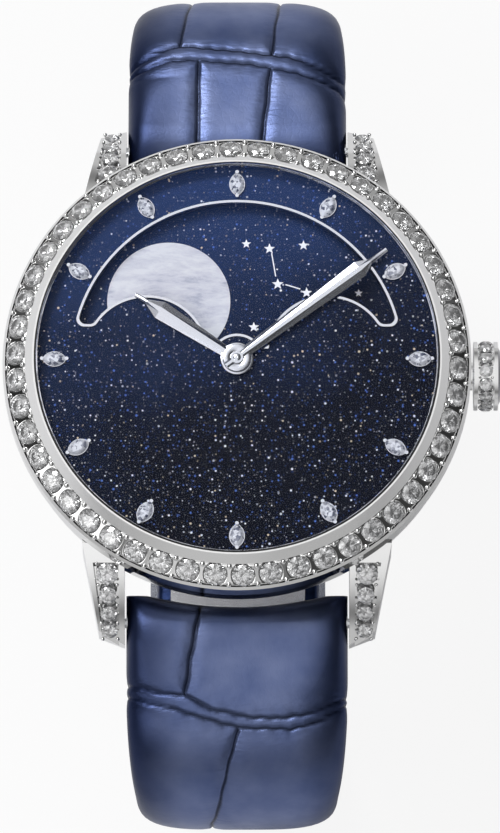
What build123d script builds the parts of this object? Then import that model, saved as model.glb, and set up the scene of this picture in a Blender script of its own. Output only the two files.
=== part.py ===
"""A round dress watch with a moon phase, a hand-wound movement, a leather strap and a folding clasp."""

import os
from math import asin, atan2, cos, degrees, hypot, radians, sin

from build123d import *

os.makedirs("parts", exist_ok=True)

# Driving dimensions in millimetres. The origin is the middle of the case back's outer face,
# +Z runs out through the dial, +Y to twelve o'clock and +X to the crown.
case_radius = 18.6
bezel_overhang = 0.4
bezel_radius = case_radius + bezel_overhang
lug_gap = 18.2
lug_overhang = 3.2
lug_reach = case_radius + lug_overhang
bezel_width = 2.75
crystal_radius = bezel_radius - bezel_width
crystal_gasket_wall = 0.17
dial_ledge = 0.1
dial_radius = crystal_radius + dial_ledge
case_wall = 3.0
casing_ring_radius = case_radius - case_wall
casing_ring_wall = 1.1
movement_radius = casing_ring_radius - casing_ring_wall
running_gap = 0.05
seat_gap = 0.03

# Heights of the stack, from the back glass up to the crystal
back_glass_thickness = 0.9
movement_gap = 0.4
bridge_thickness = 1.1
train_space = 2.2
plate_thickness = 1.4
motion_space = 1.1
moon_disc_thickness = 0.35
moon_disc_room = 0.25
dial_thickness = 0.8
case_back_thickness = 1.1
bezel_height = 3.75
bezel_top_above_dial = 1.15
crystal_above_dial = 0.85
crystal_thickness = 0.85
crystal_dome = 0.15

bridge_z = back_glass_thickness + movement_gap
train_z = bridge_z + bridge_thickness
plate_z = train_z + train_space
motion_z = plate_z + plate_thickness
moon_disc_z = motion_z + motion_space
moon_disc_top_z = moon_disc_z + moon_disc_thickness
dial_z = moon_disc_top_z + moon_disc_room
dial_top_z = dial_z + dial_thickness
bezel_top_z = dial_top_z + bezel_top_above_dial
bezel_seat_z = bezel_top_z - bezel_height
crystal_z = dial_top_z + crystal_above_dial
crystal_top_z = crystal_z + crystal_thickness
stem_z = train_z + train_space * 0.52


def keep(piece, label):
    """Names a finished piece and writes it as its own node."""
    piece.part.label = label
    export_step(piece.part, f"parts/{label}.step")


def polar(radius, angle, start=(0.0, 0.0)):
    """The point at a radius and an angle in degrees from a start point."""
    return (start[0] + radius * cos(radians(angle)), start[1] + radius * sin(radians(angle)))


def ring(outer, inner, low, high, centre=(0.0, 0.0)):
    """An upright ring between two heights."""
    with BuildPart() as made:
        with BuildSketch(Plane.XY.offset(low)):
            with Locations(centre):
                Circle(outer)
                Circle(inner, mode=Mode.SUBTRACT)
        extrude(amount=high - low)
    return made


def post(radius, low, high, centre=(0.0, 0.0)):
    """An upright round bar between two heights."""
    with BuildPart() as made:
        with BuildSketch(Plane.XY.offset(low)):
            with Locations(centre):
                Circle(radius)
        extrude(amount=high - low)
    return made


def dome_middle(edge, rise):
    """How far the halfway point of a dome's arc lies from its axis and below its top."""
    sphere = (edge**2 + rise**2) / (2 * rise)
    half = asin(edge / sphere) / 2
    return sphere * sin(half), sphere * (1 - cos(half))


# Cut stones: a round brilliant is a table, a crown, a girdle and a pavilion, all shares of its diameter
table_share = 0.28
crown_share = 0.14
girdle_share = 0.02
pavilion_share = 0.42


def brilliant(diameter):
    """A round stone with its girdle plane at the origin and its table towards +Z."""
    with BuildPart() as stone:
        with BuildSketch(Plane.XZ):
            with BuildLine():
                Polyline(
                    (0, -diameter * pavilion_share),
                    (diameter / 2, 0),
                    (diameter / 2, diameter * girdle_share),
                    (diameter * table_share, diameter * (girdle_share + crown_share)),
                    (0, diameter * (girdle_share + crown_share)),
                    close=True,
                )
            make_face()
        revolve(axis=Axis.Z)
    return stone.part


# Bezel: one turned ring with a polished bevel and a channel that slopes outwards for its row of stones
bezel_stone_count = 50
bezel_stone_diameter = 1.86
bezel_stone_start = -1.6
bezel_stone_sink = 0.06
bezel_lip = 0.14
bezel_bevel = 0.62
bezel_bevel_drop = 0.8
bezel_channel_step = 0.1
bezel_channel_drop = 1.02
bezel_channel_depth = 0.95
bezel_rim = 0.2
bezel_rim_drop = 0.25
bezel_bore = crystal_radius + crystal_gasket_wall
channel_inner = bezel_bore + bezel_lip + bezel_bevel
channel_outer = bezel_radius - bezel_rim
channel_inner_z = bezel_top_z - bezel_bevel_drop - bezel_channel_step
channel_outer_z = channel_inner_z - bezel_channel_drop
channel_slope = atan2(bezel_channel_drop, channel_outer - channel_inner)


def make_bezel():
    depth = bezel_channel_depth / cos(channel_slope)
    with BuildPart() as bezel:
        with BuildSketch(Plane.XZ):
            with BuildLine():
                Polyline(
                    (bezel_bore, bezel_seat_z),
                    (bezel_bore, bezel_top_z),
                    (bezel_bore + bezel_lip, bezel_top_z),
                    (channel_inner, bezel_top_z - bezel_bevel_drop),
                    (channel_inner, channel_inner_z - depth),
                    (channel_outer, channel_outer_z - depth),
                    (channel_outer, channel_outer_z),
                    (bezel_radius, channel_outer_z - bezel_rim_drop),
                    (bezel_radius, bezel_seat_z),
                    close=True,
                )
            make_face()
        revolve(axis=Axis.Z)
    keep(bezel, "bezel")
    middle = (channel_inner + channel_outer) / 2 - bezel_stone_sink * sin(channel_slope)
    middle_z = (channel_inner_z + channel_outer_z) / 2 - bezel_stone_sink * cos(channel_slope)
    seats = []
    for number in range(bezel_stone_count):
        angle = 90 - bezel_stone_start - number * 360 / bezel_stone_count
        lean = (sin(channel_slope) * cos(radians(angle)), sin(channel_slope) * sin(radians(angle)))
        seats.append(Plane(origin=(*polar(middle, angle), middle_z), z_dir=(*lean, cos(channel_slope))))
    stone = brilliant(bezel_stone_diameter)
    with BuildPart() as stones:
        with Locations(*seats):
            add(stone)
    keep(stones, "bezel_diamonds")


# Case middle: a ring whose flank tapers to the back, with four lugs and the crown tube's hole
case_taper_z = 3.0
case_foot_setback = 1.25
case_foot_radius = case_radius - case_foot_setback
case_bore = casing_ring_radius + running_gap
lug_root_inside = 4.0
lug_root_y = case_radius - lug_root_inside
lug_root_drop = 0.15
lug_tip_z = 0.5
lug_top_sagitta = 0.75
lug_tip_height = 1.2
lug_toe_setback = 0.9
lug_toe_y = lug_reach - lug_toe_setback
lug_toe_z = -1.0
lug_heel_inside = 2.2
lug_heel_y = case_radius - lug_heel_inside
lug_foot_inside = 5.2
lug_inside_y = case_radius - lug_foot_inside
lug_root_width = 3.4
lug_tip_width = 2.1
lug_tip_slant = 0.9
lug_plan_inside = 4.0
lug_plan_y = case_radius - lug_plan_inside
lug_groove_edge = 0.45
lug_groove_root = 2.1
lug_groove_tip = 1.4
lug_groove_depth = 0.96
lug_groove_start_gap = 1.5
lug_groove_end_gap = 0.15
lug_groove_start_y = lug_root_y + lug_groove_start_gap
lug_groove_end_y = lug_reach - lug_groove_end_gap
lug_stone_size_shares = (0.25, 0.2014, 0.1875, 0.1778)
lug_stone_diameters = [(lug_reach - lug_root_y) * share for share in lug_stone_size_shares]
lug_stone_shares = (0.28, 0.482, 0.665, 0.85)
lug_stone_sink = 0.05
lug_root_z = bezel_seat_z - lug_root_drop
spring_bar_clearance = 1.4
spring_bar_y = case_radius + spring_bar_clearance
spring_bar_z = 0.6
spring_bar_radius = 0.75
spring_bar_tip_radius = 0.4
spring_bar_tip_length = 0.9
spring_bar_end_gap = 0.15
crown_tube_radius = 1.15
back_screw_count = 6
back_setback = 1.4
back_radius = case_radius - back_setback
back_screw_inside = 0.75
back_screw_circle = back_radius - back_screw_inside
back_screw_radius = 0.4
back_screw_head_radius = 0.62
back_screw_head_height = 0.4
back_screw_length = 1.9
back_screw_slot = 0.18
lug_inner_x = lug_gap / 2


def lug_edge():
    """The lug's top line in the YZ plane, from its root to its tip."""
    return SagittaArc((lug_root_y, lug_root_z), (lug_reach, lug_tip_z), lug_top_sagitta)


def lug_solid():
    """The lug at +X and +Y, before its groove is cut."""
    with BuildPart() as lug:
        with BuildSketch(Plane.YZ.offset(lug_inner_x)):
            with BuildLine():
                lug_edge()
                Polyline(
                    (lug_reach, lug_tip_z),
                    (lug_reach, lug_tip_z - lug_tip_height),
                    (lug_toe_y, lug_toe_z),
                    (lug_heel_y, case_back_thickness),
                    (lug_inside_y, case_back_thickness),
                    (lug_inside_y, lug_root_z),
                    (lug_root_y, lug_root_z),
                )
            make_face()
        extrude(amount=lug_root_width)
        with BuildSketch(Plane.XY.offset(lug_toe_z)):
            with BuildLine():
                Polyline(
                    (lug_inner_x, lug_inside_y),
                    (lug_inner_x + lug_root_width, lug_inside_y),
                    (lug_inner_x + lug_root_width, lug_plan_y),
                    (lug_inner_x + lug_tip_width, lug_reach - lug_tip_slant),
                    (lug_inner_x, lug_reach),
                    close=True,
                )
            make_face()
        extrude(amount=bezel_seat_z - lug_toe_z, mode=Mode.INTERSECT)
    return lug.part


def lug_groove():
    """The channel that is cut along the lug's top for its stones."""
    drop = lug_groove_depth / cos(atan2(lug_root_z - lug_tip_z, lug_reach - lug_root_y))
    with BuildPart() as groove:
        with BuildSketch(Plane.YZ.offset(lug_inner_x + lug_groove_edge)):
            with BuildLine():
                SagittaArc(
                    (lug_root_y, lug_root_z - drop), (lug_reach, lug_tip_z - drop), lug_top_sagitta
                )
                Polyline(
                    (lug_reach, lug_tip_z - drop),
                    (lug_reach, bezel_seat_z),
                    (lug_root_y, bezel_seat_z),
                    (lug_root_y, lug_root_z - drop),
                )
            make_face()
        extrude(amount=lug_groove_root)
        with BuildSketch(Plane.XY.offset(lug_toe_z)):
            with BuildLine():
                Polyline(
                    (lug_inner_x + lug_groove_edge, lug_groove_start_y),
                    (lug_inner_x + lug_groove_edge + lug_groove_root, lug_groove_start_y),
                    (lug_inner_x + lug_groove_edge + lug_groove_tip, lug_groove_end_y - lug_groove_edge),
                    (lug_inner_x + lug_groove_edge, lug_groove_end_y),
                    close=True,
                )
            make_face()
        extrude(amount=bezel_seat_z - lug_toe_z, mode=Mode.INTERSECT)
    return groove.part


def on_all_lugs(shape):
    """The shape at the four lugs, mirrored across both middle planes."""
    sides = [shape, shape.mirror(Plane.YZ)]
    return sides + [one.mirror(Plane.XZ) for one in sides]


def make_case_middle():
    lugs = on_all_lugs(lug_solid())
    grooves = on_all_lugs(lug_groove())
    with BuildPart() as case_middle:
        with BuildSketch(Plane.XZ):
            with BuildLine():
                Polyline(
                    (0, case_back_thickness),
                    (case_foot_radius, case_back_thickness),
                    (case_radius, case_taper_z),
                    (case_radius, bezel_seat_z),
                    (0, bezel_seat_z),
                    close=True,
                )
            make_face()
        revolve(axis=Axis.Z)
        add(lugs)
        with BuildSketch(Plane.XY):
            Circle(case_bore)
        extrude(amount=bezel_top_z, mode=Mode.SUBTRACT)
        add(grooves, mode=Mode.SUBTRACT)
        with Locations((0, spring_bar_y, spring_bar_z), (0, -spring_bar_y, spring_bar_z)):
            Cylinder(
                spring_bar_tip_radius + seat_gap,
                lug_gap + 2 * (spring_bar_tip_length + seat_gap),
                rotation=(0, 90, 0),
                mode=Mode.SUBTRACT,
            )
        with Locations((case_radius, 0, stem_z)):
            Cylinder(
                crown_tube_radius,
                2 * (case_radius - movement_radius),
                rotation=(0, 90, 0),
                mode=Mode.SUBTRACT,
            )
        with BuildSketch(Plane.XY.offset(case_back_thickness)):
            with PolarLocations(back_screw_circle, back_screw_count):
                Circle(back_screw_radius + seat_gap)
        extrude(amount=back_screw_length, mode=Mode.SUBTRACT)
    keep(case_middle, "case_middle")


def make_lug_diamonds():
    seats = []
    for share in lug_stone_shares:
        spot = lug_edge() @ share
        along = lug_edge() % share
        width = lug_groove_root + (lug_groove_tip - lug_groove_root) * share
        middle_x = lug_inner_x + lug_groove_edge + width / 2
        for side in (1, -1):
            for end in (1, -1):
                sunk = (spot.X + along.Y * lug_stone_sink, spot.Y - along.X * lug_stone_sink)
                seat = (side * middle_x, end * sunk[0], sunk[1])
                seats.append(Plane(origin=seat, z_dir=(0, -end * along.Y, along.X)))
    with BuildPart() as stones:
        for number, diameter in enumerate(lug_stone_diameters):
            stone = brilliant(diameter)
            with Locations(*seats[4 * number : 4 * number + 4]):
                add(stone)
    keep(stones, "lug_diamonds")


def make_spring_bars():
    for label, end in (("spring_bar_upper", 1), ("spring_bar_lower", -1)):
        with BuildPart() as bar:
            with Locations((0, end * spring_bar_y, spring_bar_z)):
                Cylinder(spring_bar_radius, lug_gap - 2 * spring_bar_end_gap, rotation=(0, 90, 0))
                Cylinder(spring_bar_tip_radius, lug_gap + 2 * spring_bar_tip_length, rotation=(0, 90, 0))
        keep(bar, label)


# Case back: a screwed ring that holds a round glass
back_window_inside = 2.0
back_window_radius = movement_radius - back_window_inside
back_ledge = 0.6
back_chamfer = 0.6


def make_case_back():
    with BuildPart() as case_back:
        with BuildSketch(Plane.XZ):
            with BuildLine():
                Polyline(
                    (back_window_radius + seat_gap, 0),
                    (back_radius - back_chamfer, 0),
                    (back_radius, back_chamfer),
                    (back_radius, case_back_thickness),
                    (back_window_radius - back_ledge, case_back_thickness),
                    (back_window_radius - back_ledge, back_glass_thickness),
                    (back_window_radius + seat_gap, back_glass_thickness),
                    close=True,
                )
            make_face()
        revolve(axis=Axis.Z)
        with BuildSketch(Plane.XY):
            with PolarLocations(back_screw_circle, back_screw_count):
                Circle(back_screw_head_radius + seat_gap)
        extrude(amount=back_screw_head_height, mode=Mode.SUBTRACT)
        with BuildSketch(Plane.XY):
            with PolarLocations(back_screw_circle, back_screw_count):
                Circle(back_screw_radius + seat_gap)
        extrude(amount=case_back_thickness, mode=Mode.SUBTRACT)
    keep(case_back, "case_back")
    keep(post(back_window_radius, 0, back_glass_thickness), "back_glass")
    with BuildPart() as screws:
        with BuildSketch(Plane.XY):
            with PolarLocations(back_screw_circle, back_screw_count):
                Circle(back_screw_head_radius)
        extrude(amount=back_screw_head_height)
        with BuildSketch(Plane.XY):
            with PolarLocations(back_screw_circle, back_screw_count):
                Circle(back_screw_radius)
        extrude(amount=back_screw_length)
        with BuildSketch(Plane.XY):
            with PolarLocations(back_screw_circle, back_screw_count):
                Rectangle(2 * back_screw_head_radius, back_screw_slot)
        extrude(amount=back_screw_slot, mode=Mode.SUBTRACT)
    keep(screws, "case_back_screws")


# Crystal, its gasket, the flange that frames the dial, and the ring that holds the movement
crystal_chamfer = 0.2
crystal_gasket_height = 0.27
flange_wall = 0.2
flange_radius = dial_radius - flange_wall


def make_crystal():
    across, below = dome_middle(crystal_radius - crystal_chamfer, crystal_dome)
    with BuildPart() as crystal:
        with BuildSketch(Plane.XZ):
            with BuildLine():
                ThreePointArc(
                    (crystal_radius - crystal_chamfer, crystal_top_z),
                    (across, crystal_top_z + crystal_dome - below),
                    (0, crystal_top_z + crystal_dome),
                )
                Polyline(
                    (0, crystal_top_z + crystal_dome),
                    (0, crystal_z),
                    (crystal_radius, crystal_z),
                    (crystal_radius, crystal_top_z - crystal_chamfer),
                    (crystal_radius - crystal_chamfer, crystal_top_z),
                )
            make_face()
        revolve(axis=Axis.Z)
    keep(crystal, "crystal")
    keep(ring(bezel_bore, crystal_radius, crystal_z, crystal_z + crystal_gasket_height), "crystal_gasket")
    keep(ring(bezel_bore, flange_radius, dial_top_z, crystal_z), "dial_flange")


def make_casing_ring():
    with BuildPart() as casing_ring:
        with BuildSketch(Plane.XY.offset(bridge_z)):
            Circle(casing_ring_radius)
            Circle(movement_radius + seat_gap, mode=Mode.SUBTRACT)
        extrude(amount=dial_z - bridge_z)
        with Locations((casing_ring_radius, 0, stem_z)):
            Cylinder(
                crown_tube_radius, case_radius - movement_radius, rotation=(0, 90, 0), mode=Mode.SUBTRACT
            )
    keep(casing_ring, "casing_ring")


# Crown: a turned knob with a ring of stones and a domed stone on its end, on a stem that slides in its tube
crown_gap = 0.25
crown_inner_x = bezel_radius + crown_gap
crown_width = 1.95
crown_radius = 2.8
crown_flange = 0.3
crown_groove_depth = 0.6
crown_stone_count = 15
crown_stone_diameter = 1.06
crown_stone_sink = 0.12
crown_end_recess = 0.18
crown_end_rim = 0.35
cabochon_rise = 0.75
cabochon_pin_radius = 0.6
stem_radius = 0.6
stem_inner_x = 10.3
crown_tube_rise = 0.15
crown_tube_end_x = bezel_radius + crown_tube_rise
crown_outer_x = crown_inner_x + crown_width


def make_crown():
    with BuildPart() as crown:
        with BuildSketch(Plane.XZ):
            with BuildLine():
                Polyline(
                    (crown_inner_x, stem_z + stem_radius),
                    (crown_inner_x, stem_z + crown_radius),
                    (crown_inner_x + crown_flange, stem_z + crown_radius),
                    (crown_inner_x + crown_flange, stem_z + crown_radius - crown_groove_depth),
                    (crown_outer_x - crown_flange, stem_z + crown_radius - crown_groove_depth),
                    (crown_outer_x - crown_flange, stem_z + crown_radius),
                    (crown_outer_x, stem_z + crown_radius),
                    (crown_outer_x, stem_z + crown_radius - crown_end_rim),
                    (crown_outer_x - crown_end_recess, stem_z + crown_radius - crown_end_rim),
                    (crown_outer_x - crown_end_recess, stem_z + stem_radius),
                    close=True,
                )
            make_face()
        revolve(axis=Axis((0, 0, stem_z), (1, 0, 0)))
    keep(crown, "crown")
    seats = []
    for number in range(crown_stone_count):
        angle = number * 360 / crown_stone_count
        out = (0, cos(radians(angle)), sin(radians(angle)))
        reach = crown_radius - crown_stone_sink
        middle = ((crown_inner_x + crown_outer_x) / 2, reach * out[1], stem_z + reach * out[2])
        seats.append(Plane(origin=middle, z_dir=out))
    stone = brilliant(crown_stone_diameter)
    with BuildPart() as stones:
        with Locations(*seats):
            add(stone)
    keep(stones, "crown_diamonds")
    dome_radius = crown_radius - crown_end_rim - seat_gap
    across, below = dome_middle(dome_radius, cabochon_rise)
    with BuildPart() as cabochon:
        with BuildSketch(Plane.XZ):
            with BuildLine():
                ThreePointArc(
                    (crown_outer_x, stem_z + dome_radius),
                    (crown_outer_x + cabochon_rise - below, stem_z + across),
                    (crown_outer_x + cabochon_rise, stem_z),
                )
                Polyline(
                    (crown_outer_x + cabochon_rise, stem_z),
                    (crown_outer_x - crown_end_recess, stem_z),
                    (crown_outer_x - crown_end_recess, stem_z + dome_radius),
                    (crown_outer_x, stem_z + dome_radius),
                )
            make_face()
        revolve(axis=Axis((0, 0, stem_z), (1, 0, 0)))
    keep(cabochon, "crown_cabochon")
    with BuildPart() as stem:
        with BuildSketch(Plane.YZ.offset(stem_inner_x)):
            with Locations((0, stem_z)):
                Circle(stem_radius)
        extrude(amount=crown_outer_x - crown_end_recess - stem_inner_x)
    keep(stem, "stem")
    with BuildPart() as tube:
        with BuildSketch(Plane.YZ.offset(casing_ring_radius + running_gap)):
            with Locations((0, stem_z)):
                Circle(crown_tube_radius)
                Circle(stem_radius + running_gap, mode=Mode.SUBTRACT)
        extrude(amount=crown_tube_end_x - casing_ring_radius - running_gap)
    keep(tube, "crown_tube")


# Dial: a thick disc with the moon aperture, whose wire rim sits in a step
dial_bore = 0.95
aperture_inside = 3.08
aperture_radius = dial_radius - aperture_inside
aperture_hump_radius = 5.0
aperture_hump_x = 7.33
aperture_hump_y = 0.4
aperture_boss_radius = 2.15
aperture_valley_y = 1.1
aperture_valley_x = 3.2
aperture_tip_y = 2.95
aperture_tip_round = 0.55
aperture_wire = 0.2
aperture_wire_sunk = 0.2
aperture_wire_rise = 0.14


def aperture_face(grow=0.0):
    """The aperture's outline, grown outwards by a width, as a flat face at zero height."""
    with BuildSketch() as outline:
        Circle(aperture_radius + grow)
        with Locations((0, -aperture_radius)):
            Rectangle(4 * aperture_radius, 2 * aperture_radius - 2 * grow, mode=Mode.SUBTRACT)
        with Locations((aperture_hump_x, aperture_hump_y), (-aperture_hump_x, aperture_hump_y)):
            Circle(aperture_hump_radius - grow, mode=Mode.SUBTRACT)
        past_humps = aperture_hump_x + aperture_radius / 2
        below_tips = aperture_tip_y - grow - aperture_radius
        with Locations((past_humps, below_tips), (-past_humps, below_tips)):
            Rectangle(aperture_radius, 2 * aperture_radius, mode=Mode.SUBTRACT)
        Circle(aperture_boss_radius - grow, mode=Mode.SUBTRACT)
        with Locations((0, aperture_valley_y - grow - aperture_valley_x)):
            Rectangle(2 * aperture_valley_x, 2 * aperture_valley_x, mode=Mode.SUBTRACT)
        tips = [v for v in outline.vertices() if abs(v.X) > aperture_hump_x + aperture_hump_radius / 2]
        fillet(tips, aperture_tip_round + grow / 2)
    return outline.sketch


def make_dial():
    hole = aperture_face()
    wire = aperture_face(aperture_wire)
    with BuildPart() as dial:
        with BuildSketch(Plane.XY.offset(dial_z)):
            Circle(dial_radius)
            Circle(dial_bore, mode=Mode.SUBTRACT)
            add(hole, mode=Mode.SUBTRACT)
        extrude(amount=dial_thickness)
        with BuildSketch(Plane.XY.offset(dial_top_z - aperture_wire_sunk)):
            add(wire)
        extrude(amount=aperture_wire_sunk, mode=Mode.SUBTRACT)
    keep(dial, "dial")
    with BuildPart() as frame:
        with BuildSketch(Plane.XY.offset(dial_top_z - aperture_wire_sunk)):
            add(wire)
            add(hole, mode=Mode.SUBTRACT)
        extrude(amount=aperture_wire_sunk + aperture_wire_rise)
    keep(frame, "aperture_frame")


# Hour markers: twelve marquise stones, each in a metal setting with a claw bead at both points
marker_count = 12
marker_circle = 14.78
marker_stone_length = 1.8
marker_stone_width = 1.1
marker_setting_wall = 0.09
marker_setting_height = 0.2
marker_stone_height = 0.26
marker_stone_taper = 35
marker_claw_radius = 0.15
marker_claw_reach = 1.0
marker_claw_height = 0.42


def marquise(length, width):
    """A pointed oval, long towards +X, as a flat face at zero height."""
    with BuildSketch() as outline:
        with BuildLine():
            ThreePointArc((length / 2, 0), (0, width / 2), (-length / 2, 0))
            ThreePointArc((-length / 2, 0), (0, -width / 2), (length / 2, 0))
        make_face()
    return outline.sketch


def marker_seats(height):
    """Planes at the twelve hours, each with X pointing outwards."""
    seats = []
    for number in range(marker_count):
        angle = number * 360 / marker_count
        x_dir = (cos(radians(angle)), sin(radians(angle)), 0)
        seats.append(Plane(origin=(*polar(marker_circle, angle), height), x_dir=x_dir, z_dir=(0, 0, 1)))
    return seats


def make_markers():
    wall = 2 * marker_setting_wall
    outside = marquise(marker_stone_length + wall, marker_stone_width + wall)
    inside = marquise(marker_stone_length, marker_stone_width)
    with BuildPart() as setting:
        with BuildSketch():
            add(outside)
        extrude(amount=marker_setting_height)
        with BuildSketch():
            with Locations((marker_claw_reach, 0), (-marker_claw_reach, 0)):
                Circle(marker_claw_radius)
        extrude(amount=marker_claw_height)
        with BuildSketch(Plane.XY.offset(marker_setting_height)):
            add(inside)
        extrude(amount=marker_claw_height, mode=Mode.SUBTRACT)
    with BuildPart() as settings:
        with Locations(*marker_seats(dial_top_z)):
            add(setting.part)
    keep(settings, "hour_marker_settings")
    with BuildPart() as stone:
        with BuildSketch():
            add(inside)
        extrude(amount=marker_stone_height, taper=marker_stone_taper)
    with BuildPart() as stones:
        with Locations(*marker_seats(dial_top_z + marker_setting_height)):
            add(stone.part)
    keep(stones, "marker_diamonds")


# Moon disc: it turns round the hour wheel's pipe and carries two moons, stars and the lines between them
moon_disc_radius = 13.7
moon_disc_bore = 0.9
moon_radius = 5.0
moon_orbit = 7.58
moon_angle = 137.0
moon_height = 0.1
star_radius = 0.46
star_inner_share = 0.42
star_height = 0.08
star_points = 5
star_line_width = 0.09
star_table = (
    (0.055, 0.735, 0.85),
    (0.192, 0.705, 1.0),
    (0.394, 0.726, 0.95),
    (0.241, 0.486, 1.05),
    (0.412, 0.433, 1.0),
    (0.099, 0.221, 0.95),
    (0.72, 0.431, 0.72),
)
star_line_shares = ((0.205, 0.678, 0.229, 0.534), (0.287, 0.483, 0.375, 0.456))


def make_moon_disc():
    keep(ring(moon_disc_radius, moon_disc_bore, moon_disc_z, moon_disc_top_z), "moon_disc")
    spots = [polar(moon_orbit, moon_angle), polar(moon_orbit, moon_angle + 180)]
    stars_at = [(moon_disc_radius * x, moon_disc_radius * y, star_radius * size) for x, y, size in star_table]
    with BuildPart() as moons:
        with BuildSketch(Plane.XY.offset(moon_disc_top_z)):
            with Locations(*spots):
                Circle(moon_radius)
        extrude(amount=moon_height)
    keep(moons, "moons")
    with BuildPart() as stars:
        with BuildSketch(Plane.XY.offset(moon_disc_top_z)):
            for turn in (1, -1):
                for shares in star_line_shares:
                    ax, ay, bx, by = [moon_disc_radius * share for share in shares]
                    middle = (turn * (ax + bx) / 2, turn * (ay + by) / 2)
                    with Locations(Location((*middle, 0), (0, 0, degrees(atan2(by - ay, bx - ax))))):
                        Rectangle(hypot(bx - ax, by - ay), star_line_width)
                for x, y, radius in stars_at:
                    corners = []
                    for step in range(2 * star_points):
                        reach = radius if step % 2 == 0 else radius * star_inner_share
                        corners.append(polar(reach, 90 + step * 180 / star_points, (turn * x, turn * y)))
                    with BuildLine():
                        Polyline(*corners, close=True)
                    make_face()
        extrude(amount=star_height)
    keep(stars, "stars")


# Hands: each a round hub and a bar that widens outwards and then narrows to a fine tip
hour_angle = 146.6
minute_angle = 36.95
hand_thickness = 0.12
hour_hand_rise = 0.3
minute_hand_rise = 0.56
hand_hub_pin_rise = 0.76
hand_tip_width = 0.34
hour_hand_length = 9.87
hour_hand_hub = 1.35
hour_hand_start_width = 0.85
hour_hand_width = 1.57
hour_hand_widest = 7.45
minute_hand_length = 15.2
minute_hand_hub = 1.16
minute_hand_start_width = 0.85
minute_hand_width = 1.45
minute_hand_widest = 12.45
hand_taper = 1.75
cannon_pipe_radius = 0.5
cannon_bore = 0.25
hour_pipe_radius = 0.85
hour_pipe_bore = cannon_pipe_radius + running_gap


def hand(angle, height, length, hub, start_width, width, widest, bore):
    """A hand that lies at an angle, with its underside at a height."""
    x_dir = (cos(radians(angle)), sin(radians(angle)), 0)
    with BuildPart() as made:
        with BuildSketch(Plane(origin=(0, 0, height), x_dir=x_dir, z_dir=(0, 0, 1))):
            with BuildLine():
                Polyline(
                    (0, start_width / 2),
                    (widest, width / 2),
                    (widest + hand_taper, hand_tip_width / 2),
                    (length, hand_tip_width / 2),
                    (length, -hand_tip_width / 2),
                    (widest + hand_taper, -hand_tip_width / 2),
                    (widest, -width / 2),
                    (0, -start_width / 2),
                    close=True,
                )
            make_face()
            Circle(hub)
            Circle(bore, mode=Mode.SUBTRACT)
        extrude(amount=hand_thickness)
    return made


def make_hands():
    hour_z = dial_top_z + hour_hand_rise
    minute_z = dial_top_z + minute_hand_rise
    hour_size = (hour_hand_length, hour_hand_hub, hour_hand_start_width, hour_hand_width, hour_hand_widest)
    minute_size = (
        minute_hand_length,
        minute_hand_hub,
        minute_hand_start_width,
        minute_hand_width,
        minute_hand_widest,
    )
    keep(hand(hour_angle, hour_z, *hour_size, hour_pipe_radius), "hour_hand")
    keep(hand(minute_angle, minute_z, *minute_size, cannon_pipe_radius), "minute_hand")


# Gears: flat-faced teeth on a polygon, so that a pair runs with a little play
tooth_root_share = 0.29
tooth_tip_share = 0.1
tooth_addendum_share = 0.8
tooth_dedendum_share = 1.1
arbor_radius = 0.22
pivot_radius = 0.12
pivot_length = 0.45
jewel_radius = 0.55
jewel_thickness = 0.3
jewel_gap = 0.03


def tooth_ring(teeth, module, phase):
    """The corner points of a gear with its first tooth at an angle."""
    pitch_radius = teeth * module / 2
    root = pitch_radius - tooth_dedendum_share * module
    tip = pitch_radius + tooth_addendum_share * module
    pitch = 360 / teeth
    points = []
    for number in range(teeth):
        middle = phase + number * pitch
        points.append(polar(root, middle - tooth_root_share * pitch))
        points.append(polar(tip, middle - tooth_tip_share * pitch))
        points.append(polar(tip, middle + tooth_tip_share * pitch))
        points.append(polar(root, middle + tooth_root_share * pitch))
    return points


def meshed(teeth_a, phase_a, teeth_b, direction):
    """The phase of gear B, which lies at a direction from gear A, so that their teeth interleave."""
    pitch_a = 360 / teeth_a
    off = (phase_a - direction + pitch_a / 2) % pitch_a - pitch_a / 2
    return direction + 180 - off * teeth_a / teeth_b + 180 / teeth_b


def spoke_windows(outer, inner, count, spoke):
    """Flat-sided windows that leave straight spokes between an inner and an outer radius."""
    windows = []
    for number in range(count):
        middle = number * 360 / count
        half_outer = 180 / count - degrees(spoke / 2 / outer)
        half_inner = 180 / count - degrees(spoke / 2 / inner)
        arc = [polar(outer, middle + half_outer * step / 2) for step in (-2, -1, 0, 1, 2)]
        windows.append(arc + [polar(inner, middle + half_inner * step) for step in (1, 0, -1)])
    return windows


def gear(centre, teeth, module, phase, low, high, bore=0.0, windows=()):
    """A gear between two heights, with a round bore where it turns on a post."""
    with BuildPart() as made:
        with BuildSketch(Plane.XY.offset(low)):
            with Locations(centre):
                with BuildSketch(mode=Mode.PRIVATE) as face:
                    with BuildLine():
                        Polyline(*tooth_ring(teeth, module, phase), close=True)
                    make_face()
                    for window in windows:
                        with BuildLine():
                            Polyline(*window, close=True)
                        make_face(mode=Mode.SUBTRACT)
                    if bore:
                        Circle(bore, mode=Mode.SUBTRACT)
                add(face.sketch)
        extrude(amount=high - low)
    return made.part


def arbor(centre, low, high):
    """A round arbor with a finer pivot at both ends."""
    with BuildPart() as made:
        with BuildSketch(Plane.XY.offset(low)):
            with Locations(centre):
                Circle(pivot_radius)
        extrude(amount=high - low)
        with BuildSketch(Plane.XY.offset(low + pivot_length + seat_gap)):
            with Locations(centre):
                Circle(arbor_radius)
        extrude(amount=high - low - 2 * pivot_length - 2 * seat_gap)
    return made.part


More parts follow.
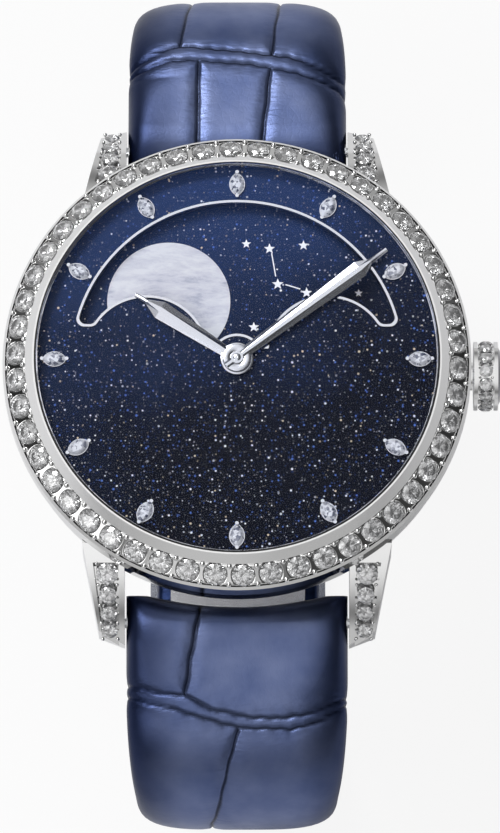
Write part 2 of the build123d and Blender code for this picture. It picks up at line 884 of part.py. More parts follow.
def spiral_strip(centre, inner, turns, pitch, wall, low, high, start):
    """A flat coiled strip made of half turns, and its least gap to itself."""
    centres = []
    radius = inner
    for number in range(2 * turns):
        side = 1 if number % 2 == 0 else -1
        centres.append((radius, side))
        radius += pitch / 2
    with BuildPart() as made:
        with BuildSketch(Plane.XY.offset(low)):
            with Locations(Location((*centre, 0), (0, 0, start))):
                with BuildSketch(mode=Mode.PRIVATE) as face:
                    for number, (reach, side) in enumerate(centres):
                        shift = (-side * pitch / 4, 0)
                        with BuildLine():
                            outer_arc = CenterArc(shift, reach + wall / 2, 90 - 90 * side, 180)
                            inner_arc = CenterArc(shift, reach - wall / 2, 90 - 90 * side, 180)
                            Line(outer_arc @ 0, inner_arc @ 0)
                            Line(outer_arc @ 1, inner_arc @ 1)
                        make_face()
                add(face.sketch)
        extrude(amount=high - low)
    return made.part, pitch - wall


# Going train: barrel, centre, third, fourth and escape wheels, each driving the next one's pinion
barrel_teeth = 84
barrel_module = 0.142
barrel_direction = 45
barrel_z_share = 0.3
barrel_drum_radius = 5.5
barrel_wall = 0.35
barrel_drum_height = 1.35
barrel_tooth_height = 0.45
barrel_arbor_radius = 1.1
mainspring_turns = 6
mainspring_pitch = 0.58
mainspring_wall = 0.12
mainspring_inner = 1.45
centre_pinion_teeth = 14
centre_teeth = 80
centre_module = 0.114
third_pinion_teeth = 10
third_direction = 170
third_teeth = 75
third_module = 0.096
fourth_pinion_teeth = 10
fourth_direction = -75
fourth_teeth = 70
fourth_module = 0.09
escape_pinion_teeth = 7
escape_direction = -42
wheel_thickness = 0.22
wheel_spokes = 5
wheel_spoke_width = 0.5
wheel_rim = 0.55
wheel_hub = 0.95
centre_wheel_rise = 0.25
third_wheel_rise = 0.95
fourth_wheel_rise = 1.6
escape_wheel_rise = 0.98
escape_teeth = 15
escape_radius = 2.2
escape_root_share = 0.72
balance_direction = -57
balance_distance = 9.55
balance_radius = 4.1
balance_rim = 0.42
balance_rim_height = 0.35
balance_rise = 0.55
balance_spoke = 0.45
roller_radius = 0.75
roller_rise = 1.05
roller_height = 0.4
roller_pin_radius = 0.1
roller_pin_circle = 0.8
hairspring_rise = 0.1
hairspring_height = 0.28
hairspring_inner = 0.5
hairspring_turns = 5
hairspring_pitch = 0.56
hairspring_wall = 0.09
pallet_distance = 2.62
pallet_thickness = 0.2
pallet_span = 34
pallet_gap = 0.16
pallet_arm = 0.34
pallet_lever_width = 0.3
pallet_fork_gap = 0.16

barrel_distance = (barrel_teeth + centre_pinion_teeth) * barrel_module / 2
barrel_centre = polar(barrel_distance, barrel_direction)
barrel_low_z = train_z + train_space * barrel_z_share
third_centre = polar((centre_teeth + third_pinion_teeth) * centre_module / 2, third_direction)
fourth_centre = polar((third_teeth + fourth_pinion_teeth) * third_module / 2, fourth_direction, third_centre)
escape_distance = (fourth_teeth + escape_pinion_teeth) * fourth_module / 2
escape_centre = polar(escape_distance, escape_direction, fourth_centre)
balance_centre = polar(balance_distance, balance_direction)
escape_to_balance = degrees(atan2(balance_centre[1] - escape_centre[1], balance_centre[0] - escape_centre[0]))
pallet_centre = polar(pallet_distance, escape_to_balance, escape_centre)
pallet_to_balance = hypot(balance_centre[0] - pallet_centre[0], balance_centre[1] - pallet_centre[1])
centre_phase = 0.0
arbor_low_z = train_z - pivot_length
arbor_high_z = plate_z + pivot_length


def wheel_windows(teeth, module):
    return spoke_windows(teeth * module / 2 - wheel_rim, wheel_hub, wheel_spokes, wheel_spoke_width)


def train_wheel(label, centre, teeth, module, phase, rise, pinion, pinion_low, pinion_high):
    """A wheel and its pinion on one arbor. The pinion is a tuple of teeth, module and phase."""
    low = train_z + rise
    with BuildPart() as made:
        add(gear(centre, teeth, module, phase, low, low + wheel_thickness, 0, wheel_windows(teeth, module)))
        add(gear(centre, *pinion, pinion_low, pinion_high))
        add(arbor(centre, arbor_low_z, arbor_high_z))
    keep(made, label)


def make_train():
    barrel_phase = meshed(centre_pinion_teeth, centre_phase, barrel_teeth, barrel_direction)
    third_pinion_phase = meshed(centre_teeth, centre_phase, third_pinion_teeth, third_direction)
    fourth_pinion_phase = meshed(third_teeth, 0, fourth_pinion_teeth, fourth_direction)
    escape_pinion_phase = meshed(fourth_teeth, 0, escape_pinion_teeth, escape_direction)
    centre_low = train_z + centre_wheel_rise
    third_low = train_z + third_wheel_rise
    fourth_low = train_z + fourth_wheel_rise
    barrel_high_z = barrel_low_z + barrel_drum_height
    with BuildPart() as barrel:
        with BuildSketch(Plane.XY.offset(barrel_low_z)):
            with Locations(barrel_centre):
                Circle(barrel_drum_radius)
                Circle(barrel_arbor_radius + running_gap, mode=Mode.SUBTRACT)
        extrude(amount=barrel_drum_height)
        with BuildSketch(Plane.XY.offset(barrel_low_z + barrel_wall)):
            with Locations(barrel_centre):
                Circle(barrel_drum_radius - barrel_wall)
        extrude(amount=barrel_drum_height - 2 * barrel_wall, mode=Mode.SUBTRACT)
        with BuildSketch(Plane.XY.offset(barrel_high_z - barrel_tooth_height)):
            with Locations(barrel_centre):
                with BuildSketch(mode=Mode.PRIVATE) as face:
                    with BuildLine():
                        Polyline(*tooth_ring(barrel_teeth, barrel_module, barrel_phase), close=True)
                    make_face()
                    Circle(barrel_drum_radius - barrel_wall, mode=Mode.SUBTRACT)
                add(face.sketch)
        extrude(amount=barrel_tooth_height)
    keep(barrel, "barrel")
    coil, coil_gap = spiral_strip(
        barrel_centre,
        mainspring_inner,
        mainspring_turns,
        mainspring_pitch,
        mainspring_wall,
        barrel_low_z + barrel_wall + seat_gap,
        barrel_high_z - barrel_wall - seat_gap,
        0,
    )
    print("mainspring least gap", round(coil_gap, 3))
    with BuildPart() as mainspring:
        add(coil)
    keep(mainspring, "mainspring")
    pinion = (centre_pinion_teeth, barrel_module, centre_phase)
    pinion_span = (centre_low + wheel_thickness, barrel_high_z)
    with BuildPart() as centre_wheel:
        windows = wheel_windows(centre_teeth, centre_module)
        disc = (centre_teeth, centre_module, centre_phase, centre_low, centre_low + wheel_thickness)
        add(gear((0, 0), *disc, 0, windows))
        add(gear((0, 0), *pinion, *pinion_span))
        with BuildSketch(Plane.XY.offset(arbor_low_z)):
            Circle(pivot_radius)
        extrude(amount=pivot_length + seat_gap)
        with BuildSketch(Plane.XY.offset(train_z + seat_gap)):
            Circle(arbor_radius)
        extrude(amount=motion_z + motion_rise - train_z - seat_gap)
    keep(centre_wheel, "centre_wheel")
    train_wheel(
        "third_wheel",
        third_centre,
        third_teeth,
        third_module,
        0,
        third_wheel_rise,
        (third_pinion_teeth, centre_module, third_pinion_phase),
        centre_low - wheel_thickness / 2,
        third_low,
    )
    train_wheel(
        "fourth_wheel",
        fourth_centre,
        fourth_teeth,
        fourth_module,
        0,
        fourth_wheel_rise,
        (fourth_pinion_teeth, third_module, fourth_pinion_phase),
        third_low - wheel_thickness / 2,
        fourth_low,
    )
    escape_low = train_z + escape_wheel_rise
    with BuildPart() as escape_wheel:
        with BuildSketch(Plane.XY.offset(escape_low)):
            with Locations(escape_centre):
                with BuildSketch(mode=Mode.PRIVATE) as face:
                    points = []
                    for number in range(escape_teeth):
                        lead = number * 360 / escape_teeth
                        points.append(polar(escape_radius * escape_root_share, lead))
                        points.append(polar(escape_radius, lead + 90 / escape_teeth))
                        points.append(polar(escape_radius, lead + 120 / escape_teeth))
                        points.append(polar(escape_radius * escape_root_share, lead + 210 / escape_teeth))
                    with BuildLine():
                        Polyline(*points, close=True)
                    make_face()
                add(face.sketch)
        extrude(amount=wheel_thickness)
        pinion_low = fourth_low - wheel_thickness / 2
        pinion_high = fourth_low + wheel_thickness * 3 / 2
        pinion = (escape_pinion_teeth, fourth_module, escape_pinion_phase, pinion_low, pinion_high)
        add(gear(escape_centre, *pinion))
        add(arbor(escape_centre, arbor_low_z, arbor_high_z))
    keep(escape_wheel, "escape_wheel")


def make_escapement():
    low = train_z + escape_wheel_rise
    lever = pallet_to_balance - roller_pin_circle - roller_pin_radius - 2 * pallet_fork_gap
    toward = (cos(radians(escape_to_balance)), sin(radians(escape_to_balance)), 0)
    with BuildPart() as pallet_fork:
        with BuildSketch(Plane(origin=(*escape_centre, low), x_dir=toward, z_dir=(0, 0, 1))):
            reach = escape_radius + pallet_gap
            for side in (1, -1):
                with BuildLine():
                    Polyline(
                        (pallet_distance, side * pallet_lever_width / 2),
                        polar(reach + pallet_arm, side * pallet_span / 2),
                        polar(reach + pallet_arm, side * pallet_span),
                        polar(reach, side * pallet_span),
                        polar(reach, side * pallet_span / 2),
                        (pallet_distance - arbor_radius, -side * pallet_lever_width / 2),
                        (pallet_distance, -side * pallet_lever_width / 2),
                        close=True,
                    )
                make_face()
        extrude(amount=pallet_thickness)
        upper = Plane(origin=(*pallet_centre, low + pallet_thickness), x_dir=toward, z_dir=(0, 0, 1))
        with BuildSketch(upper):
            with Locations((lever / 2, 0)):
                Rectangle(lever, pallet_lever_width)
            with Locations((0, 0)):
                Rectangle(2 * pallet_lever_width, 2 * pallet_lever_width)
            horn = roller_pin_radius + pallet_fork_gap
            for side in (1, -1):
                with BuildLine():
                    Polyline(
                        (lever - pallet_lever_width, 0),
                        (lever + pallet_fork_gap, side * horn),
                        (lever + pallet_fork_gap, side * (horn + pallet_lever_width / 2)),
                        (lever - pallet_lever_width, side * pallet_lever_width),
                        close=True,
                    )
                make_face()
        extrude(amount=pallet_thickness)
        add(arbor(pallet_centre, arbor_low_z, arbor_high_z))
    keep(pallet_fork, "pallet_fork")
    rim_low = train_z + balance_rise
    with BuildPart() as balance:
        with BuildSketch(Plane.XY.offset(rim_low)):
            with Locations(balance_centre):
                Circle(balance_radius)
                Circle(balance_radius - balance_rim, mode=Mode.SUBTRACT)
                Rectangle(2 * balance_radius - balance_rim, balance_spoke)
                Circle(roller_radius)
        extrude(amount=balance_rim_height)
        with BuildSketch(Plane.XY.offset(train_z + roller_rise)):
            with Locations(balance_centre):
                Circle(roller_radius)
            with Locations(polar(roller_pin_circle, escape_to_balance + 180, balance_centre)):
                Circle(roller_pin_radius)
        extrude(amount=roller_height)
        with BuildSketch(Plane.XY.offset(rim_low)):
            with Locations(balance_centre):
                Circle(arbor_radius)
        extrude(amount=roller_rise + roller_height - balance_rise)
        add(arbor(balance_centre, arbor_low_z, arbor_high_z))
    keep(balance, "balance_wheel")
    coil, coil_gap = spiral_strip(
        balance_centre,
        hairspring_inner,
        hairspring_turns,
        hairspring_pitch,
        hairspring_wall,
        train_z + hairspring_rise,
        train_z + hairspring_rise + hairspring_height,
        0,
    )
    print("hairspring least gap", round(coil_gap, 3))
    with BuildPart() as hairspring:
        add(coil)
    keep(hairspring, "hairspring")


# Winding: the stem's pinion drives the crown wheel, and that drives the barrel's ratchet wheel
winding_teeth = 18
crown_wheel_teeth = 36
ratchet_teeth = 50
winding_module = 0.144
winding_pinion_width = 1.5
winding_wheel_thickness = 0.5
winding_recess = 0.75
winding_wheel_sunk = 0.2
crown_wheel_post = 0.8
crown_wheel_reach = (crown_wheel_teeth + ratchet_teeth) * winding_module / 2
crown_wheel_x = barrel_centre[0] + (crown_wheel_reach**2 - barrel_centre[1] ** 2) ** 0.5
crown_wheel_centre = (crown_wheel_x, 0.0)
ratchet_direction = degrees(atan2(barrel_centre[1], barrel_centre[0] - crown_wheel_x))
winding_pinion_x = crown_wheel_x + crown_wheel_teeth * winding_module / 2
winding_wheel_z = bridge_z + winding_wheel_sunk
winding_wheel_top_z = winding_wheel_z + winding_wheel_thickness


def make_winding():
    with BuildPart() as winding_pinion:
        with BuildSketch(Plane.YZ.offset(winding_pinion_x - winding_pinion_width / 2)):
            with Locations((0, stem_z)):
                with BuildSketch(mode=Mode.PRIVATE) as face:
                    with BuildLine():
                        Polyline(*tooth_ring(winding_teeth, winding_module, 0), close=True)
                    make_face()
                    Circle(stem_radius + running_gap, mode=Mode.SUBTRACT)
                add(face.sketch)
        extrude(amount=winding_pinion_width)
    keep(winding_pinion, "winding_pinion")
    span = (winding_wheel_z, winding_wheel_top_z)
    with BuildPart() as crown_wheel:
        bore = crown_wheel_post + running_gap
        add(gear(crown_wheel_centre, crown_wheel_teeth, winding_module, 0, *span, bore))
    keep(crown_wheel, "crown_wheel")
    phase = meshed(crown_wheel_teeth, 0, ratchet_teeth, ratchet_direction)
    with BuildPart() as ratchet_wheel:
        add(gear(barrel_centre, ratchet_teeth, winding_module, phase, *span, barrel_arbor_radius))
    keep(ratchet_wheel, "ratchet_wheel")
    keep(post(barrel_arbor_radius, winding_wheel_z, plate_z + pivot_length, barrel_centre), "barrel_arbor")


# Motion works behind the dial: cannon pinion, minute, hour and day wheels, and the moon's wheel
cannon_teeth = 12
minute_wheel_teeth = 36
minute_module = 0.1333
minute_pinion_teeth = 10
hour_wheel_teeth = 40
motion_distance = (cannon_teeth + minute_wheel_teeth) * minute_module / 2
hour_module = 2 * motion_distance / (minute_pinion_teeth + hour_wheel_teeth)
minute_direction = -60
day_wheel_teeth = 80
day_direction = 100
moon_wheel_teeth = 59
moon_wheel_radius = 5.0
motion_rise = 0.1
motion_wheel_thickness = 0.22
hour_wheel_rise = 0.42
moon_wheel_rise = 0.76
day_finger_gap = 0.3
day_finger_width = 0.5
motion_post_radius = 0.4
day_distance = (hour_wheel_teeth + day_wheel_teeth) * hour_module / 2
moon_module = 2 * moon_wheel_radius / moon_wheel_teeth


def make_motion_works():
    cannon_low = motion_z + motion_rise
    hour_low = motion_z + hour_wheel_rise
    moon_low = motion_z + moon_wheel_rise
    minute_phase = meshed(cannon_teeth, 0, minute_wheel_teeth, minute_direction)
    pinion_phase = meshed(hour_wheel_teeth, 0, minute_pinion_teeth, minute_direction)
    day_phase = meshed(hour_wheel_teeth, 0, day_wheel_teeth, day_direction)
    minute_centre = polar(motion_distance, minute_direction)
    day_centre = polar(day_distance, day_direction)
    pipe_top_z = dial_top_z + hour_hand_rise + hand_thickness
    pin_top_z = dial_top_z + hand_hub_pin_rise
    with BuildPart() as cannon_pinion:
        add(gear((0, 0), cannon_teeth, minute_module, 0, cannon_low, cannon_low + motion_wheel_thickness))
        with BuildSketch(Plane.XY.offset(cannon_low)):
            Circle(cannon_pipe_radius)
        extrude(amount=pin_top_z - cannon_low)
    keep(cannon_pinion, "cannon_pinion")
    with BuildPart() as minute_wheel:
        cannon_high = cannon_low + motion_wheel_thickness
        disc = (minute_wheel_teeth, minute_module, minute_phase, cannon_low, cannon_high)
        add(gear(minute_centre, *disc, motion_post_radius + running_gap))
        pinion = (minute_pinion_teeth, hour_module, pinion_phase)
        pinion_span = (cannon_low + motion_wheel_thickness, hour_low + motion_wheel_thickness)
        add(gear(minute_centre, *pinion, *pinion_span, motion_post_radius + running_gap))
    keep(minute_wheel, "minute_wheel")
    with BuildPart() as hour_wheel:
        with BuildSketch(Plane.XY.offset(hour_low)):
            with BuildLine():
                Polyline(*tooth_ring(hour_wheel_teeth, hour_module, 0), close=True)
            make_face()
            Circle(hour_pipe_bore, mode=Mode.SUBTRACT)
        extrude(amount=motion_wheel_thickness)
        with BuildSketch(Plane.XY.offset(hour_low)):
            Circle(hour_pipe_radius)
            Circle(hour_pipe_bore, mode=Mode.SUBTRACT)
        extrude(amount=pipe_top_z - hour_low)
    keep(hour_wheel, "hour_wheel")
    finger_reach = day_distance - moon_wheel_radius - day_finger_gap
    with BuildPart() as day_wheel:
        disc = (day_wheel_teeth, hour_module, day_phase, hour_low, hour_low + motion_wheel_thickness)
        add(gear(day_centre, *disc, motion_post_radius + running_gap))
        with BuildSketch(Plane.XY.offset(hour_low + motion_wheel_thickness)):
            with Locations(day_centre):
                with BuildSketch(mode=Mode.PRIVATE) as face:
                    with Locations((0, finger_reach / 2)):
                        Rectangle(day_finger_width, finger_reach)
                    Circle(2 * motion_post_radius)
                    Circle(motion_post_radius + running_gap, mode=Mode.SUBTRACT)
                add(face.sketch)
        extrude(amount=moon_low - hour_low)
    keep(day_wheel, "day_wheel")
    with BuildPart() as moon_wheel:
        with BuildSketch(Plane.XY.offset(moon_low)):
            with BuildLine():
                Polyline(*tooth_ring(moon_wheel_teeth, moon_module, 0), close=True)
            make_face()
            Circle(hour_pipe_radius + running_gap, mode=Mode.SUBTRACT)
        extrude(amount=moon_disc_z - moon_low)
    keep(moon_wheel, "moon_wheel")


# Plates and bridges: flat discs and segments with holes for the jewels, on feet round the rim
bridge_edge_gap = 0.1
bridge_radius = movement_radius - bridge_edge_gap
bridge_line_direction = 35
bridge_line = 0.8
bridge_line_gap = 0.2
bridge_lower_y = -3.0
bridge_foot_width = 0.55
balance_opening = 4.0
cock_width = 4.2
window_clearance = 0.25
movement_screw_head = 0.7
movement_screw_head_height = 0.3
movement_screw_shank = 0.35
movement_screw_inside = 1.2
movement_screw_circle = movement_radius - movement_screw_inside
movement_screw_directions = (18, 62, 100, 140, 190, 225, balance_direction)


def jewel_places():
    return [third_centre, fourth_centre, escape_centre, pallet_centre, balance_centre]


def screw_places():
    return [polar(movement_screw_circle, direction) for direction in movement_screw_directions]


def half_plane(direction, distance, size):
    """A large square on the far side of a line, as a location for a rectangle."""
    return Location((*polar(distance + size, direction), 0), (0, 0, direction))


def bridge_plan(region):
    """The plan of the barrel bridge, train bridge or balance cock, as a face at zero height."""
    size = 2 * bridge_radius
    with BuildSketch() as plan:
        Circle(bridge_radius)
        if region == "barrel_bridge":
            with Locations(half_plane(bridge_line_direction + 180, -bridge_line - bridge_line_gap / 2, size)):
                Rectangle(2 * size, 2 * size, mode=Mode.SUBTRACT)
            with Locations(half_plane(-90, -bridge_lower_y, size)):
                Rectangle(2 * size, 2 * size, mode=Mode.SUBTRACT)
        if region == "train_bridge":
            with Locations(half_plane(bridge_line_direction, bridge_line - bridge_line_gap / 2, size)):
                Rectangle(2 * size, 2 * size, mode=Mode.SUBTRACT)
            with Locations(balance_centre):
                Circle(balance_opening, mode=Mode.SUBTRACT)
            middle = polar(size / 2 + balance_distance, balance_direction)
            with Locations(Location((*middle, 0), (0, 0, balance_direction))):
                Rectangle(size, 2 * balance_opening, mode=Mode.SUBTRACT)
        if region == "balance_cock":
            middle = polar(size / 2 + balance_distance, balance_direction)
            with Locations(Location((*middle, 0), (0, 0, balance_direction))):
                Rectangle(size, cock_width, mode=Mode.INTERSECT)
            with Locations(balance_centre):
                Circle(cock_width / 2)
    return plan.sketch


def make_bridges():
    holes = {"barrel_bridge": [], "train_bridge": jewel_places()[:4], "balance_cock": [balance_centre]}
    for label, places in holes.items():
        plan = bridge_plan(label)
        with BuildPart() as bridge:
            with BuildSketch(Plane.XY.offset(bridge_z)):
                add(plan)
            extrude(amount=bridge_thickness)
            with BuildSketch(Plane.XY.offset(train_z)):
                add(plan)
                Circle(bridge_radius - bridge_foot_width, mode=Mode.SUBTRACT)
            extrude(amount=train_space)
            if label == "barrel_bridge":
                with BuildSketch(Plane.XY.offset(bridge_z)):
                    with Locations(barrel_centre):
                        Circle((ratchet_teeth / 2 + 1) * winding_module + window_clearance)
                    with Locations(crown_wheel_centre):
                        Circle((crown_wheel_teeth / 2 + 1) * winding_module + window_clearance)
                        Circle(crown_wheel_post, mode=Mode.SUBTRACT)
                extrude(amount=winding_recess, mode=Mode.SUBTRACT)
                with BuildSketch(Plane.XY.offset(bridge_z)):
                    with Locations(barrel_centre):
                        Circle(barrel_arbor_radius + running_gap)
                extrude(amount=bridge_thickness, mode=Mode.SUBTRACT)
                tooth_reach = (winding_teeth / 2 + 1) * winding_module + window_clearance
                with BuildSketch(Plane.XY.offset(bridge_z)):
                    with Locations((winding_pinion_x, 0)):
                        Rectangle(winding_pinion_width + 2 * window_clearance, 2 * tooth_reach)
                extrude(amount=bridge_thickness, mode=Mode.SUBTRACT)
                with Locations((movement_radius, 0, stem_z)):
                    Cylinder(
                        crown_tube_radius,
                        movement_radius - stem_inner_x,
                        rotation=(0, 90, 0),
                        mode=Mode.SUBTRACT,
                    )
            if places:
                with BuildSketch(Plane.XY.offset(bridge_z)):
                    with Locations(*places):
                        Circle(jewel_radius)
                extrude(amount=bridge_thickness, mode=Mode.SUBTRACT)
            if label == "train_bridge":
                with BuildSketch(Plane.XY.offset(bridge_z)):
                    Circle(jewel_radius)
                extrude(amount=bridge_thickness, mode=Mode.SUBTRACT)
            with BuildSketch(Plane.XY.offset(bridge_z)):
                with Locations(*screw_places()):
                    Circle(movement_screw_head + seat_gap)
            extrude(amount=movement_screw_head_height, mode=Mode.SUBTRACT)
            with BuildSketch(Plane.XY.offset(bridge_z)):
                with Locations(*screw_places()):
                    Circle(movement_screw_shank + seat_gap)
            extrude(amount=bridge_thickness, mode=Mode.SUBTRACT)
        keep(bridge, label)
    with BuildPart() as main_plate:
        with BuildSketch(Plane.XY.offset(plate_z)):
            Circle(bridge_radius)
            Circle(arbor_radius + running_gap, mode=Mode.SUBTRACT)
            with Locations(*jewel_places()):
                Circle(jewel_radius, mode=Mode.SUBTRACT)
            with Locations(barrel_centre):
                Circle(barrel_arbor_radius + running_gap, mode=Mode.SUBTRACT)
        extrude(amount=plate_thickness)
        tooth_reach = (winding_teeth / 2 + 1) * winding_module + window_clearance
        with BuildSketch(Plane.XY.offset(plate_z)):
            with Locations(((winding_pinion_x + bridge_radius) / 2, 0)):
                Rectangle(bridge_radius - winding_pinion_x + 2 * winding_pinion_width, 2 * tooth_reach)
        extrude(amount=stem_z + tooth_reach - plate_z, mode=Mode.SUBTRACT)
        with BuildSketch(Plane.XY.offset(motion_z)):
            with Locations(polar(motion_distance, minute_direction), polar(day_distance, day_direction)):
                Circle(motion_post_radius)
        extrude(amount=hour_wheel_rise + motion_wheel_thickness)
    keep(main_plate, "main_plate")
    with BuildPart() as jewels:
        for level in (train_z - jewel_thickness, plate_z):
            with BuildSketch(Plane.XY.offset(level)):
                with Locations(*jewel_places()):
                    Circle(jewel_radius)
                    Circle(pivot_radius + jewel_gap, mode=Mode.SUBTRACT)
            extrude(amount=jewel_thickness)
        with BuildSketch(Plane.XY.offset(train_z - jewel_thickness)):
            Circle(jewel_radius)
            Circle(pivot_radius + jewel_gap, mode=Mode.SUBTRACT)
        extrude(amount=jewel_thickness)
    keep(jewels, "jewels")
    with BuildPart() as screws:
        with BuildSketch(Plane.XY.offset(bridge_z)):
            with Locations(*screw_places()):
                Circle(movement_screw_head)
        extrude(amount=movement_screw_head_height)
        with BuildSketch(Plane.XY.offset(bridge_z)):
            with Locations(*screw_places()):
                Circle(movement_screw_shank)
        extrude(amount=bridge_thickness)
    keep(screws, "movement_screws")


# Strap: two leather halves that follow the wrist from the spring bars to the clasp.
# The path is a run from the bar, then shoulder, side and corner arcs that end in a flat.
strap_gap = 0.15
strap_half_width = lug_inner_x - strap_gap
strap_head_radius = 2.2
strap_shoulder_reach = {"upper": 5.6, "lower": 5.0}
strap_shoulder_z = -8.4
strap_shoulder_radius = 8.0
strap_shoulder_turn = {"upper": -80, "lower": -102}
strap_side_radius = {"upper": 45.0, "lower": 200.0}
strap_side_turn = {"upper": -122, "lower": -110}
strap_side_middle_turn = {"upper": -100, "lower": -106}
strap_corner_middle_turn = {"upper": -152, "lower": -145}
strap_flat_z = {"upper": -44.98, "lower": -46.9}
strap_end_y = {"upper": 14.6, "lower": -7.2}
strap_half_shoulder = 2.05
strap_half_side = 1.85
strap_half_middle = 1.6
strap_half_low = 1.35
strap_half_end = 1.1
strap_side_half_width = 8.35
strap_end_half_width = 7.2
strap_plan_top_z = 4.0
strap_plan_head_z = -0.5
strap_plan_side_z = -10.0
strap_plan_low_z = -50.0
strap_bore = spring_bar_radius + running_gap


def turned(centre, radius, heading):
    """The point of a clockwise arc where its heading is the given one."""
    return (centre[0] - radius * sin(radians(heading)), centre[1] + radius * cos(radians(heading)))


def shifted(point, heading, distance):
    """The point moved outwards, to the left of its heading."""
    return (point[0] - distance * sin(radians(heading)), point[1] + distance * cos(radians(heading)))


def strap_stations(half):
    """The strap's middle line: points, headings and half thicknesses, from the bar to its end."""
    shoulder = (spring_bar_y + strap_shoulder_reach[half], strap_shoulder_z)
    across, down = shoulder[0] - spring_bar_y, shoulder[1] - spring_bar_z
    start = degrees(atan2(down, across)) + degrees(asin(strap_shoulder_radius / hypot(across, down)))
    steep, low = strap_shoulder_turn[half], strap_side_turn[half]
    side_middle, corner_middle = strap_side_middle_turn[half], strap_corner_middle_turn[half]
    halfway = (start + steep) / 2
    shoulder_end = turned(shoulder, strap_shoulder_radius, steep)
    side = shifted(shoulder_end, steep, -strap_side_radius[half])
    side_end = turned(side, strap_side_radius[half], low)
    corner_radius = (side_end[1] - strap_flat_z[half]) / (1 + cos(radians(low)))
    corner = shifted(side_end, low, -corner_radius)
    return [
        ((spring_bar_y, spring_bar_z), start, strap_head_radius),
        (turned(shoulder, strap_shoulder_radius, start), start, strap_half_shoulder),
        (turned(shoulder, strap_shoulder_radius, halfway), halfway, strap_half_shoulder),
        (shoulder_end, steep, strap_half_side),
        (turned(side, strap_side_radius[half], side_middle), side_middle, strap_half_middle),
        (side_end, low, strap_half_low),
        (turned(corner, corner_radius, corner_middle), corner_middle, strap_half_end),
        ((corner[0], strap_flat_z[half]), -180, strap_half_end),
        ((strap_end_y[half], strap_flat_z[half]), -180, strap_half_end),
    ]


def make_strap(half):
    end = 1 if half == "upper" else -1
    stations = strap_stations(half)
    outer = [shifted(p, h, t) for p, h, t in stations]
    inner = [shifted(p, h, -t) for p, h, t in stations]
    with BuildPart() as strap:
        with BuildSketch(Plane.YZ.offset(-lug_inner_x)):
            with BuildLine():
                for side in (outer, inner):
                    Line(side[0], side[1])
                    ThreePointArc(side[1], side[2], side[3])
                    ThreePointArc(side[3], side[4], side[5])
                    ThreePointArc(side[5], side[6], side[7])
                    Line(side[7], side[8])
                Line(outer[0], inner[0])
                Line(outer[8], inner[8])
            make_face()
            with Locations((spring_bar_y, spring_bar_z)):
                Circle(strap_head_radius)
                Circle(strap_bore, mode=Mode.SUBTRACT)
        extrude(amount=lug_gap)
        with BuildSketch(Plane.XZ.offset(-lug_reach - lug_reach)):
            with BuildLine():
                right = (
                    (strap_half_width, strap_plan_top_z),
                    (strap_half_width, strap_plan_head_z),
                    (strap_side_half_width, strap_plan_side_z),
                    (strap_end_half_width, strap_plan_low_z),
                )
                Polyline(*right, *[(-x, z) for x, z in reversed(right)], close=True)
            make_face()
        extrude(amount=4 * lug_reach, mode=Mode.INTERSECT)
        if end < 0:
            mirror(about=Plane.XZ, mode=Mode.REPLACE)
    keep(strap, f"strap_{half}")


# Folding clasp: a base blade on the upper strap half, a fold blade, and a cover on the lower half
blade_thickness = 0.8
blade_gap = 0.15
blade_half_width = 5.8
base_blade_end_y = 14.6
fold_blade_end_y = 9.0
fold_hinge_y = -11.5
fold_hinge_setback = 1.0
fold_knuckle_radius = 0.75
fold_pin_radius = 0.35
fold_centre_knuckle = 4.8
fold_knuckle_gap = 0.1
cover_thickness = 0.8
cover_half_width = 7.6
cover_start_y = -9.0
cover_end_y = 10.0
cover_post_width = 1.3
cover_post_start_y = 7.6
cover_pin_radius = 0.4
cover_pin_y = 8.6
base_plate_wall = 0.8
fold_low_z = strap_flat_z["lower"] + strap_half_end + blade_gap
fold_high_z = fold_low_z + blade_thickness
base_low_z = fold_high_z + blade_gap
base_high_z = base_low_z + blade_thickness
fold_hinge_z = (fold_high_z + base_low_z) / 2
cover_high_z = strap_flat_z["lower"] - strap_half_end


def across_bar(radius, half_length, y, z, start=0.0):
    """A bar along X, from one side to the other."""
    with BuildPart() as made:
        with BuildSketch(Plane.YZ.offset(start - half_length)):
            with Locations((y, z)):
                Circle(radius)
        extrude(amount=2 * half_length)
    return made.part


